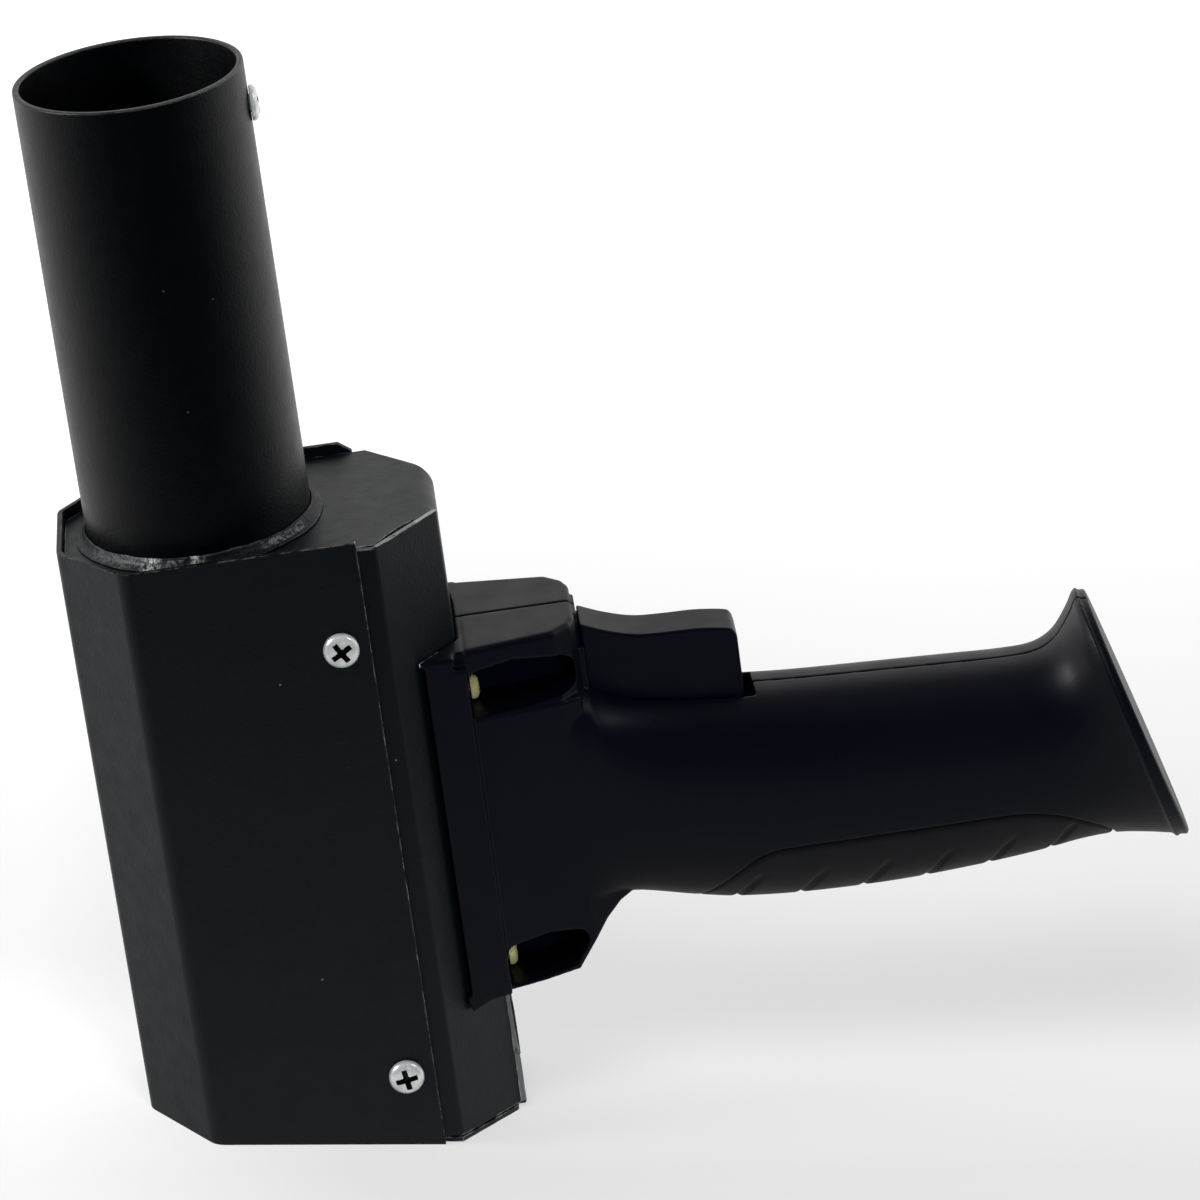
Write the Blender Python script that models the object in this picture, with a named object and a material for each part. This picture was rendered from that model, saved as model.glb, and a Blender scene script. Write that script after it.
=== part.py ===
# Hand-held cold spark launcher: a folded sheet-metal box with a launch tube welded to its top plate,
# a moulded pistol handle with a trigger at +X, and the firing circuit inside.
#
# Metres, +Z up. The box stands on its slanted bottom plate at z = 0, so the tube leans towards -X.
# The launcher is modelled square to its tube, under one empty that leans it.

import bpy
import bmesh
from math import cos, pi, radians, sin, tan
from mathutils import Matrix, Vector

for leftover in list(bpy.data.objects):
    bpy.data.objects.remove(leftover)


# Clearances and sheet metal
FIT_GAP = 0.0003             # between pieces that touch on the real launcher
SHEET = 0.0012
SHEET_BEND = 0.0025          # outer radius of the upright bends
FOLD_RADIUS = 0.004          # outer radius where the wall turns into the top and bottom plates
FOLD_HALF = 0.011            # half the width of those two folds
RELIEF = 0.0008              # slot at each end of a fold
SLIT = 0.0004                # open joint between a plate and the walls that it isn't folded from

# Box
LEAN = radians(9.0)
BOX_WIDTH = 0.085
BOX_DEPTH = 0.062
CHAMFER_X = 0.0145
CHAMFER_Y = 0.0185
COVER_TOP = 0.147            # the cover's rim, above the middle of the base
PLATE_RECESS = 0.0025        # the top plate lies this far below the rim
SEAM_FRONT_X = 0.024         # the cover's front edge
SEAM_BACK_X = 0.022
FLANGE_LAP = 0.0145          # the chassis reaches this far behind the cover's edges

# Launch tube
TUBE_RADIUS = 0.0254
TUBE_WALL = 0.0015
TUBE_SETBACK = 0.0066        # from the -X wall's outside to the tube
TUBE_TOP = 0.251
TUBE_FOOT = 0.085
WELD_WIDTH = 0.0026
WELD_RIPPLE = 0.00022
WELD_RIPPLES = 24

# Breech: a ring in the tube's foot carries an insulating disc with two contacts
RING_WIDTH = 0.006
RING_THICKNESS = 0.002
DISC_THICKNESS = 0.005
CONTACT_SPREAD = 0.018
CONTACT_HEAD_RADIUS = 0.0035
CONTACT_SHANK_RADIUS = 0.0015
CONTACT_LENGTH = 0.0155
CONTACT_NUT_RADIUS = 0.0032
CONTACT_NUT_HEIGHT = 0.0024

# Screws: head radius, head height, shank radius, length
COVER_SCREW = (0.004, 0.0024, 0.002, 0.0085)
COVER_SCREW_X = 0.0174
COVER_SCREW_DROP = 0.0247    # upper pair, below the cover's rim
COVER_SCREW_RISE = 0.0181    # lower pair, above the cover's lower edge
RETAINER = (0.004, 0.0024, 0.002, 0.0078)
RETAINER_DROP = 0.0105       # below the tube's mouth
FLANGE_SCREW = (0.0028, 0.0021, 0.0015, 0.0070)
FLANGE_SCREW_SPREAD = 0.018
GRIP_SCREW = (0.0027, 0.0019, 0.0014, 0.016)

# Plate behind the handle, inside the box
BACKING_THICKNESS = 0.002
BACKING_HALF = 0.0117
BACKING_MARGIN = 0.007       # beyond the screws, up and down

# Handle: where it meets the box
FLANGE_HALF = 0.024
FLANGE_LOW = 0.0273
FLANGE_EAR = 0.0090          # its sides reach this far back past the wall, along the chamfers
FLANGE_WEB = 0.0012
FLANGE_BEVEL = 0.0012
HEAD_TOP = 0.113
HEAD_LENGTH = 0.027
HEAD_HALF = 0.0207
HEAD_SHOULDER = 0.022        # from the wall to where the head's sides turn inwards
HEAD_SHOULDER_HALF = 0.0168
HEAD_END_HALF = 0.0130
HEAD_END_CHAMFER = (0.0013, 0.0035)
HEAD_BEVEL = 0.0016
NECK_TIP = (0.0177, 0.0021)  # lowest corner beside the grip: from the wall, and above the flange's foot
NECK_BEND = (0.0255, 0.0129) # from there it sweeps round into the grip's underside
NECK_SWEEP = (0.0290, 0.0162)
NECK_END = (0.0325, 0.0179)
NECK_HALF = 0.0176
NECK_END_HALF = 0.0135
NECK_BEVEL = 0.0009

# Pockets for the flange screws
POCKET_DEPTH = 0.0204
POCKET_HEIGHT = 0.0112
POCKET_RISE = 0.0012         # the roof is this much higher half way along
POCKET_CORNER = 0.0007       # radius beside the flange
POCKET_ROUND = 0.0028        # radius at the far end
POCKET_WALL = 0.0013
UPPER_POCKET_Z = 0.0961      # floor of the upper pockets, beside the flange
LOWER_POCKET_Z = 0.0285

# Handle: the grip
GRIP_AXIS_Z = 0.0600
GRIP_HEIGHT = 0.0505
GRIP_HALF = 0.0175
GRIP_LENGTH = 0.161          # from the wall to the lowest point of the rim
SHELL_WALL = 0.004
RIM_THICKNESS = 0.004
SECTION_SIDES = 24

# Palm pad, let into the underside of the grip
PAD_THICKNESS = 0.0017
PAD_START = 0.0455           # from the wall
PAD_LENGTH = 0.0985
PAD_HEIGHT = 0.0165
PAD_RUN_IN = 0.018           # length of its tapered ends

# Trigger
TRIGGER_LENGTH = 0.0352
TRIGGER_HALF = 0.006
TRIGGER_GAP = 0.0011         # to the head block
TRIGGER_TOP = 0.1093
TRIGGER_FOOT = 0.082
TRIGGER_WALL = 0.0018
TRIGGER_TRAVEL = radians(7.0)
SLOT_CLEARANCE = 0.0005      # at each side of the trigger
SLOT_RUN = 0.0023            # behind the trigger
PIVOT_X = 0.0045             # from the trigger's front face
PIVOT_Z = 0.084
PIVOT_RADIUS = 0.0015
PIVOT_LENGTH = 0.0215
BOSS_WALL = 0.0016

# Return spring
SPRING_RADIUS = 0.0022
SPRING_WIRE = 0.0006
SPRING_TURNS = 6
SPRING_X = 0.0070            # from the pivot
SPRING_LENGTH = 0.0140

# Switch
SWITCH_LENGTH = 0.020
SWITCH_HEIGHT = 0.0103
SWITCH_HALF = 0.0032
SWITCH_X = 0.0115            # from the pivot to the switch's near end
SWITCH_TOP = 0.0723
LEVER_PIVOT_X = 0.002        # from the switch's near end
LEVER_LENGTH = 0.015
LEVER_SHEET = 0.0005
LEVER_HALF = 0.0024
LEVER_REST = radians(12.0)
LEVER_KNUCKLE = 0.0006
BUTTON_X = 0.0055            # from the lever's hinge
BUTTON_HALF = 0.0011
BUTTON_DEPTH = 0.0018
NUDGE_X = 0.0140             # from the lever's hinge to the trigger's rib
NUDGE_WIDTH = 0.002

# Wiring
LEAD_RADIUS = 0.0016
LEAD_STEP = 0.006
WIRE_HOLE_Z = 0.064
CHANNEL_HALF_WIDTH = 0.0032
CHANNEL_HALF_HEIGHT = 0.007
GROMMET_BORE = 0.0022
GROMMET_NECK = 0.0042
GROMMET_LIP = 0.0062
GROMMET_LIP_THICKNESS = 0.0013
TERMINAL_DEPTH = 0.012
TERMINAL_HALF = 0.0085
TERMINAL_HEIGHT = 0.014
TERMINAL_Z = 0.1125

# Battery, upright on the base
BATTERY_WIDTH = 0.0265
BATTERY_DEPTH = 0.0175
BATTERY_HEIGHT = 0.0465
BATTERY_STUD = (0.0030, 0.0022)
BATTERY_STUD_SPREAD = 0.0127
BATTERY_X = -0.012
CLIP_SHEET = 0.001
CLIP_HEIGHT = 0.020
SNAP_HEIGHT = 0.005

SHARP_ANGLE = radians(35)    # steeper edges are shaded as corners

# Worked out from the sizes above
WALL_X = BOX_WIDTH / 2
SIDE_Y = BOX_DEPTH / 2
LINER = SHEET + FIT_GAP      # from the cover's outside to what lies behind it
PLATE_TOP = COVER_TOP - PLATE_RECESS
FACE_X = WALL_X + FIT_GAP
POCKET_X = FACE_X + FLANGE_WEB
TUBE_X = -WALL_X + TUBE_SETBACK + TUBE_RADIUS
HEAD_END_X = WALL_X + HEAD_LENGTH
TRIGGER_X = HEAD_END_X + TRIGGER_GAP
SLOT_END_X = TRIGGER_X + TRIGGER_LENGTH + SLOT_RUN
PIVOT = Vector((TRIGGER_X + PIVOT_X, 0, PIVOT_Z))
SWITCH_START_X = PIVOT.x + SWITCH_X
LEVER_HINGE = Vector((SWITCH_START_X + LEVER_PIVOT_X, 0, SWITCH_TOP + FIT_GAP + LEVER_KNUCKLE))
BORE_RADIUS = TUBE_RADIUS - TUBE_WALL
SCREW_POSTS = ((WALL_X + 0.0145, 0.048), (WALL_X + 0.0145, 0.086),
               (SLOT_END_X + 0.010, 0.047), (WALL_X + GRIP_LENGTH - 0.027, 0.060))


def floor_z(x):
    # the floor, seen from the leaning launcher
    return -x * tan(LEAN)


# Materials

def finish(name, colour, roughness, metallic=0.0):
    material = bpy.data.materials.new(name)
    material.use_nodes = True
    shader = material.node_tree.nodes["Principled BSDF"]
    shader.inputs["Base Color"].default_value = (*colour, 1)
    shader.inputs["Roughness"].default_value = roughness
    shader.inputs["Metallic"].default_value = metallic
    return material


powder_coat = finish("black_powder_coat", (0.012, 0.014, 0.014), 0.5)
plastic = finish("black_plastic", (0.008, 0.008, 0.010), 0.42)
trigger_plastic = finish("trigger_plastic", (0.010, 0.010, 0.011), 0.35)
pad_rubber = finish("pad_rubber", (0.014, 0.014, 0.015), 0.62)
zinc = finish("bright_zinc", (0.62, 0.63, 0.63), 0.25, 1.0)
yellow_zinc = finish("yellow_zinc", (0.60, 0.55, 0.28), 0.3, 1.0)
steel = finish("plain_steel", (0.45, 0.45, 0.46), 0.35, 1.0)
brass = finish("brass", (0.65, 0.48, 0.18), 0.28, 1.0)
laminate = finish("brown_laminate", (0.20, 0.09, 0.035), 0.5)
terminal_plastic = finish("white_nylon", (0.62, 0.61, 0.57), 0.45)
switch_plastic = finish("switch_plastic", (0.015, 0.015, 0.016), 0.4)
button_plastic = finish("button_plastic", (0.35, 0.02, 0.02), 0.4)
battery_jacket = finish("battery_jacket", (0.03, 0.05, 0.12), 0.35)
lead_jacket = finish("lead_jacket", (0.02, 0.02, 0.022), 0.55)
grommet_rubber = finish("grommet_rubber", (0.012, 0.012, 0.012), 0.75)


# Frames

def empty(name, parent=None):
    frame = bpy.data.objects.new(name, None)
    bpy.context.collection.objects.link(frame)
    frame.parent = parent
    return frame


base_frame = empty("base_frame")
launcher_frame = empty("launcher_frame", base_frame)
launcher_frame.rotation_euler = (0, -LEAN, 0)


# Outlines

def fillet(corners, radius, steps):
    # an open path through the corners, with each inner corner rounded
    path = [Vector(corners[0])]
    for before, corner, after in zip(corners, corners[1:], corners[2:]):
        corner = Vector(corner)
        back = (Vector(before) - corner).normalized()
        ahead = (Vector(after) - corner).normalized()
        half_angle = back.angle(ahead) / 2
        centre = corner + (back + ahead).normalized() * radius / sin(half_angle)
        reach = radius / tan(half_angle)
        first = (corner + back * reach - centre).normalized()
        last = (corner + ahead * reach - centre).normalized()
        for step in range(steps + 1):
            path.append(centre + first.slerp(last, step / steps).normalized() * radius)
    path.append(Vector(corners[-1]))
    return path


def inset_corners(corners, distance):
    # a closed outline, anticlockwise, with each side moved inwards
    moved = []
    count = len(corners)
    for index in range(count):
        before, corner, after = (Vector(corners[(index + k) % count]) for k in (-1, 0, 1))
        along_in = (corner - before).normalized()
        along_out = (after - corner).normalized()
        normal_in = Vector((-along_in.y, along_in.x))
        normal_out = Vector((-along_out.y, along_out.x))
        middle = (normal_in + normal_out).normalized()
        moved.append(corner + middle * distance / middle.dot(normal_in))
    return moved


def smooth_route(points, step):
    # points every step or so along a Catmull-Rom curve through the route
    ends = [2 * points[0] - points[1]] + points + [2 * points[-1] - points[-2]]
    route = []
    for a, b, c, d in zip(ends, ends[1:], ends[2:], ends[3:]):
        count = max(1, round((c - b).length / step))
        for index in range(count):
            t = index / count
            route.append(0.5 * (2 * b + (c - a) * t + (2 * a - 5 * b + 4 * c - d) * t ** 2
                                + (3 * b - a - 3 * c + d) * t ** 3))
    route.append(points[-1])
    return route


# Solids

def to_object(name, bm, material=None, parent=launcher_frame):
    bmesh.ops.remove_doubles(bm, verts=bm.verts, dist=1e-7)
    bmesh.ops.recalc_face_normals(bm, faces=bm.faces)
    mesh = bpy.data.meshes.new(name)
    bm.to_mesh(mesh)
    bm.free()
    mesh.shade_smooth()
    mesh.set_sharp_from_angle(angle=SHARP_ANGLE)
    return from_mesh(name, mesh, material, parent)


def from_mesh(name, mesh, material=None, parent=launcher_frame):
    piece = bpy.data.objects.new(name, mesh)
    bpy.context.collection.objects.link(piece)
    piece.parent = parent
    if material is None:
        piece.hide_render = True
        piece.display_type = 'WIRE'
    elif not mesh.materials:
        mesh.materials.append(material)
    return piece


def skin_rings(bm, rings, closed):
    # quads between each ring of points and the next, and a face on both ends unless the rings close up
    loops = [[bm.verts.new(point) for point in ring] for ring in rings]
    following = loops[1:] + loops[:1] if closed else loops[1:]
    for ring, after in zip(loops, following):
        for index in range(len(ring)):
            turn = (index + 1) % len(ring)
            bm.faces.new((ring[index], ring[turn], after[turn], after[index]))
    if not closed:
        bm.faces.new(loops[0])
        bm.faces.new(loops[-1])


def upright(name, outline, bottom, top, material=None, parent=launcher_frame):
    # a prism on a plan outline; bottom and top are heights, or functions of x
    def level(height, x):
        return height(x) if callable(height) else height

    bm = bmesh.new()
    rings = [[Vector((x, y, level(height, x))) for x, y in outline] for height in (bottom, top)]
    skin_rings(bm, rings, False)
    return to_object(name, bm, material, parent)


def sideways(name, outline, low_y, high_y, material=None, parent=launcher_frame):
    # a prism along Y on an outline in X and Z
    bm = bmesh.new()
    rings = [[Vector((x, y, z)) for x, z in outline] for y in (low_y, high_y)]
    skin_rings(bm, rings, False)
    return to_object(name, bm, material, parent)


def block(name, low, high, material=None, parent=launcher_frame):
    outline = ((low[0], low[1]), (high[0], low[1]), (high[0], high[1]), (low[0], high[1]))
    return upright(name, outline, low[2], high[2], material, parent)


AXES = {"X": (0, pi / 2, 0), "-X": (0, -pi / 2, 0), "Y": (-pi / 2, 0, 0), "-Y": (pi / 2, 0, 0), "Z": (0, 0, 0)}


def turned(name, profile, segments, material=None, location=(0, 0, 0), axis="Z", parent=launcher_frame):
    # a closed profile of (radius, height) turned about Z, then laid along an axis
    bm = bmesh.new()
    columns = []
    for index in range(segments):
        angle = 2 * pi * index / segments
        columns.append([Vector((r * cos(angle), r * sin(angle), z)) for r, z in profile])
    verts = [[bm.verts.new(point) for point in column] for column in columns]
    for column, after in zip(verts, verts[1:] + verts[:1]):
        for index in range(len(profile)):
            turn = (index + 1) % len(profile)
            if profile[index][0] == 0 and profile[turn][0] == 0:
                continue
            corners = [column[index], column[turn], after[turn], after[index]]
            if profile[index][0] == 0:
                corners = [column[index], column[turn], after[turn]]
            elif profile[turn][0] == 0:
                corners = [column[index], column[turn], after[index]]
            bm.faces.new(corners)
    piece = to_object(name, bm, material, parent)
    piece.location = location
    piece.rotation_euler = AXES[axis]
    return piece


def rod(name, radius, length, segments, material=None, location=(0, 0, 0), axis="Z", parent=launcher_frame):
    bm = bmesh.new()
    rings = [[Vector((radius * cos(2 * pi * (index + 0.5) / segments), radius * sin(2 * pi * (index + 0.5) / segments), z))
              for index in range(segments)] for z in (0, length)]
    skin_rings(bm, rings, False)
    piece = to_object(name, bm, material, parent)
    piece.location = location
    piece.rotation_euler = AXES[axis]
    return piece


def combine(piece, other, operation):
    step = piece.modifiers.new(operation.lower() + "_" + other.name, 'BOOLEAN')
    step.operation = operation
    step.solver = 'EXACT'
    step.object = other


def cut(piece, *cutters):
    for cutter in cutters:
        combine(piece, cutter, 'DIFFERENCE')


def join(piece, *others):
    for other in others:
        combine(piece, other, 'UNION')


def origin_at(piece, point):
    # moves the piece's origin without moving the piece
    piece.data.transform(Matrix.Translation(-point))
    piece.location = point


def tube_along(name, points, radius, material, sides_level, parent=launcher_frame):
    curve = bpy.data.curves.new(name, 'CURVE')
    curve.dimensions = '3D'
    spline = curve.splines.new('POLY')
    spline.points.add(len(points) - 1)
    for slot, point in zip(spline.points, points):
        slot.co = (*point, 1)
    curve.bevel_depth = radius
    curve.bevel_resolution = sides_level
    curve.use_fill_caps = True
    curve.materials.append(material)
    piece = bpy.data.objects.new(name, curve)
    bpy.context.collection.objects.link(piece)
    piece.parent = parent
    return piece


# Fasteners

def pan_head(name, size, segments, material, dome=3, tip=0.0004):
    # a domed head above z = 0 with a cross recess, and a shank below it
    head_radius, head_height, shank_radius, length = size
    profile = [(0, -length), (shank_radius - tip, -length), (shank_radius, tip - length), (shank_radius, 0),
               (head_radius, 0), (head_radius, head_height * 0.3)]
    for step in range(1, dome):
        angle = pi / 2 * step / dome
        profile.append((head_radius * cos(angle) ** 0.7, head_height * (0.3 + 0.7 * sin(angle))))
    profile.append((0, head_height))
    screw = turned(name + "_blank", profile, segments, material)
    arm = head_radius * 0.52
    web = head_radius * 0.13
    depth = head_height * 0.45
    for index, (half_x, half_y) in enumerate(((arm, web), (web, arm))):
        low = (-half_x, -half_y, head_height - depth)
        high = (half_x, half_y, head_height * 2)
        cut(screw, block(f"{name}_recess_{index}", low, high))
    bpy.context.view_layer.update()
    shaped = screw.evaluated_get(bpy.context.evaluated_depsgraph_get())
    mesh = bpy.data.meshes.new_from_object(shaped)
    mesh.name = name
    for modifier in list(screw.modifiers):
        bpy.data.objects.remove(modifier.object)
    bpy.data.objects.remove(screw)
    return mesh


def place_screw(name, mesh, location, axis):
    screw = from_mesh(name, mesh, mesh.materials[0])
    screw.location = location
    screw.rotation_euler = AXES[axis]
    return screw


def clearance_hole(name, shank_radius, low, length, axis):
    return rod(name, shank_radius + FIT_GAP, length, 16, location=low, axis=axis)


# Box outlines in plan, anticlockwise from the front left

def octagon():
    return ((-WALL_X + CHAMFER_X, -SIDE_Y), (WALL_X - CHAMFER_X, -SIDE_Y),
            (WALL_X, -SIDE_Y + CHAMFER_Y), (WALL_X, SIDE_Y - CHAMFER_Y),
            (WALL_X - CHAMFER_X, SIDE_Y), (-WALL_X + CHAMFER_X, SIDE_Y),
            (-WALL_X, SIDE_Y - CHAMFER_Y), (-WALL_X, -SIDE_Y + CHAMFER_Y))


def chassis_corners():
    # the +X wall keeps its place, and the front and back flanges lie behind the cover
    return ((WALL_X - CHAMFER_X, -SIDE_Y + LINER), (WALL_X, -SIDE_Y + CHAMFER_Y),
            (WALL_X, SIDE_Y - CHAMFER_Y), (WALL_X - CHAMFER_X, SIDE_Y - LINER))


def chamfer_y(x):
    # how far the chassis's chamfer lies from the middle at x
    (near_x, near_y), (far_x, far_y) = chassis_corners()[2:]
    return near_y + (far_y - near_y) * (near_x - x) / (near_x - far_x)


def plate_outline(fold_x):
    # half of a plate's edge, from its fold round the front to the -X side, and the same mirrored
    tongue_x = WALL_X - FOLD_RADIUS * 0.25
    inner = inset_corners(octagon(), LINER)
    front = [(fold_x, FOLD_HALF), (fold_x, FOLD_HALF + RELIEF), (tongue_x, FOLD_HALF + RELIEF),
             (tongue_x, chamfer_y(tongue_x)), chassis_corners()[3], tuple(inner[5]), tuple(inner[6])]
    return [(x, -y) for x, y in front] + [(x, y) for x, y in reversed(front)]


def add_face(bm, points):
    bm.faces.new([bm.verts.new(point) for point in points])


def folded_sheet(name, bm, outward, material):
    # gives an open surface the sheet's thickness, on its inner side
    bmesh.ops.remove_doubles(bm, verts=bm.verts, dist=1e-6)
    bmesh.ops.recalc_face_normals(bm, faces=bm.faces)
    bm.faces.ensure_lookup_table()
    farthest = max(bm.faces, key=lambda face: face.calc_center_median().dot(outward))
    if farthest.normal.dot(outward) < 0:
        bmesh.ops.reverse_faces(bm, faces=bm.faces)
    mesh = bpy.data.meshes.new(name)
    bm.to_mesh(mesh)
    bm.free()
    mesh.shade_smooth()
    mesh.set_sharp_from_angle(angle=SHARP_ANGLE)
    sheet = from_mesh(name, mesh, material)
    thickness = sheet.modifiers.new("thickness", 'SOLIDIFY')
    thickness.thickness = SHEET
    thickness.offset = -1
    thickness.use_even_offset = True
    return sheet


def make_chassis():
    # the side path runs along the top plate, down the wall and back along the bottom plate
    inner_end = WALL_X - CHAMFER_X
    side_path = fillet(((inner_end, PLATE_TOP), (WALL_X, PLATE_TOP), (WALL_X, floor_z(WALL_X)),
                        (inner_end, floor_z(inner_end))), FOLD_RADIUS, 4)[1:-1]
    top_fold, bottom_fold = side_path[:5], side_path[5:]
    notch_high = top_fold[-1].y - FOLD_RADIUS / 2
    notch_low = bottom_fold[0].y + FOLD_RADIUS / 2
    bm = bmesh.new()
    strip = top_fold + [Vector((WALL_X, notch_high)), Vector((WALL_X, notch_low))] + bottom_fold
    for upper, lower in zip(strip, strip[1:]):
        add_face(bm, [(upper.x, -FOLD_HALF, upper.y), (upper.x, FOLD_HALF, upper.y),
                      (lower.x, FOLD_HALF, lower.y), (lower.x, -FOLD_HALF, lower.y)])

    # the wall beside the folds, its chamfers and the flanges behind the cover
    wall_top = PLATE_TOP - SHEET - SLIT
    corners = chassis_corners()
    for side, end_x in ((-1, SEAM_FRONT_X - FLANGE_LAP), (1, SEAM_BACK_X - FLANGE_LAP)):
        plan = [(WALL_X, FOLD_HALF + RELIEF), corners[2], corners[3], (end_x, corners[3][1])]
        path = fillet(plan, SHEET_BEND * 0.4, 3)
        for near, far in zip(path, path[1:]):
            for low, high in ((None, notch_low), (notch_low, notch_high), (notch_high, wall_top)):
                bottoms = [floor_z(p.x) + SHEET + SLIT if low is None else low for p in (near, far)]
                add_face(bm, [(near.x, side * near.y, bottoms[0]), (far.x, side * far.y, bottoms[1]),
                              (far.x, side * far.y, high), (near.x, side * near.y, high)])
        add_face(bm, [(WALL_X, side * FOLD_HALF, notch_low), (WALL_X, side * path[0].y, notch_low),
                      (WALL_X, side * path[0].y, notch_high), (WALL_X, side * FOLD_HALF, notch_high)])
    add_face(bm, [(x, y, PLATE_TOP) for x, y in plate_outline(top_fold[0].x)])
    add_face(bm, [(x, y, floor_z(x)) for x, y in plate_outline(bottom_fold[-1].x)])
    chassis = folded_sheet("chassis", bm, Vector((1, 0, 0)), powder_coat)

    cut(chassis, rod("tube_hole", TUBE_RADIUS + FIT_GAP, 4 * SHEET, 64,
                     location=(TUBE_X, 0, PLATE_TOP - 3 * SHEET)))
    cut(chassis, rod("wire_hole", GROMMET_NECK + FIT_GAP, 4 * SHEET, 20,
                     location=(WALL_X - 3 * SHEET, 0, WIRE_HOLE_Z), axis="X"))
    cut(chassis, *flange_screw_holes("chassis", WALL_X - 3 * SHEET, 4 * SHEET))
    cut(chassis, *cover_screw_holes("chassis"))
    return chassis


def make_cover():
    outer = octagon()
    path = fillet(((SEAM_FRONT_X, -SIDE_Y), outer[0], outer[7], outer[6], outer[5], (SEAM_BACK_X, SIDE_Y)),
                  SHEET_BEND, 4)
    bm = bmesh.new()
    for near, far in zip(path, path[1:]):
        add_face(bm, [(near.x, near.y, floor_z(near.x)), (far.x, far.y, floor_z(far.x)),
                      (far.x, far.y, COVER_TOP), (near.x, near.y, COVER_TOP)])
    cover = folded_sheet("cover", bm, Vector((-1, 0, 0)), powder_coat)
    cut(cover, *cover_screw_holes("cover"))
    return cover


# Screw places

def cover_screw_places():
    lower_z = floor_z(COVER_SCREW_X) + COVER_SCREW_RISE
    for side_name, side in (("front", -1), ("back", 1)):
        for height_name, z in (("upper", COVER_TOP - COVER_SCREW_DROP), ("lower", lower_z)):
            yield f"{side_name}_{height_name}", side, z


def cover_screw_holes(owner):
    return [clearance_hole(f"{owner}_hole_{name}", COVER_SCREW[2], (COVER_SCREW_X, side * (SIDE_Y - 4 * SHEET), z),
                           6 * SHEET, "Y" if side > 0 else "-Y") for name, side, z in cover_screw_places()]


def flange_screw_places():
    # each screw stands in the middle of its pocket's left end
    for side_name, side in (("front", -1), ("back", 1)):
        for height_name, pocket_z in (("upper", UPPER_POCKET_Z), ("lower", LOWER_POCKET_Z)):
            z = pocket_z + FLANGE_SCREW[0] + FIT_GAP
            yield f"{side_name}_{height_name}", side, side * FLANGE_SCREW_SPREAD / 2, z, pocket_z


def flange_screw_holes(owner, low_x, length):
    return [clearance_hole(f"{owner}_flange_hole_{name}", FLANGE_SCREW[2], (low_x, y, z), length, "X")
            for name, side, y, z, pocket_z in flange_screw_places()]


def make_box_screws():
    cover_mesh = pan_head("cover_screw", COVER_SCREW, 16, zinc)
    for name, side, z in cover_screw_places():
        place_screw("cover_screw_" + name, cover_mesh, (COVER_SCREW_X, side * (SIDE_Y + FIT_GAP), z),
                    "Y" if side > 0 else "-Y")
    flange_mesh = pan_head("flange_screw", FLANGE_SCREW, 12, yellow_zinc, dome=2)
    for name, side, y, z, pocket_z in flange_screw_places():
        place_screw("flange_screw_" + name, flange_mesh, (POCKET_X + FIT_GAP, y, z), "X")


# Tube and breech

def make_tube():
    profile = ((BORE_RADIUS, TUBE_FOOT), (TUBE_RADIUS, TUBE_FOOT), (TUBE_RADIUS, TUBE_TOP), (BORE_RADIUS, TUBE_TOP))
    tube = turned("barrel_tube", profile, 64, powder_coat, (TUBE_X, 0, 0))
    cut(tube, clearance_hole("retainer_hole", RETAINER[2], retainer_seat() - Vector((3 * TUBE_WALL, 0, 0)),
                             4 * TUBE_WALL, "X"))

    # the bead lies in the corner between plate and tube, with a ripple for each dab of weld
    bm = bmesh.new()
    rings = []
    segments = WELD_RIPPLES * 3
    for index in range(segments):
        angle = 2 * pi * index / segments
        reach = WELD_WIDTH + WELD_RIPPLE * cos(WELD_RIPPLES * angle)
        section = [(FIT_GAP, FIT_GAP), (reach, FIT_GAP), (reach * 0.72, reach * 0.42), (reach * 0.36, reach * 0.76),
                   (FIT_GAP, reach)]
        rings.append([Vector(((TUBE_RADIUS + r) * cos(angle), (TUBE_RADIUS + r) * sin(angle), PLATE_TOP + z))
                      for r, z in section])
    skin_rings(bm, rings, True)
    weld = to_object("barrel_weld", bm, powder_coat)
    weld.location = (TUBE_X, 0, 0)


def retainer_seat():
    return Vector((TUBE_X + TUBE_RADIUS, 0, TUBE_TOP - RETAINER_DROP))


def make_retainer():
    mesh = pan_head("retaining_screw_mesh", RETAINER, 16, zinc)
    place_screw("retaining_screw", mesh, retainer_seat() + Vector((FIT_GAP * 2, 0, 0)), "X")


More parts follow.
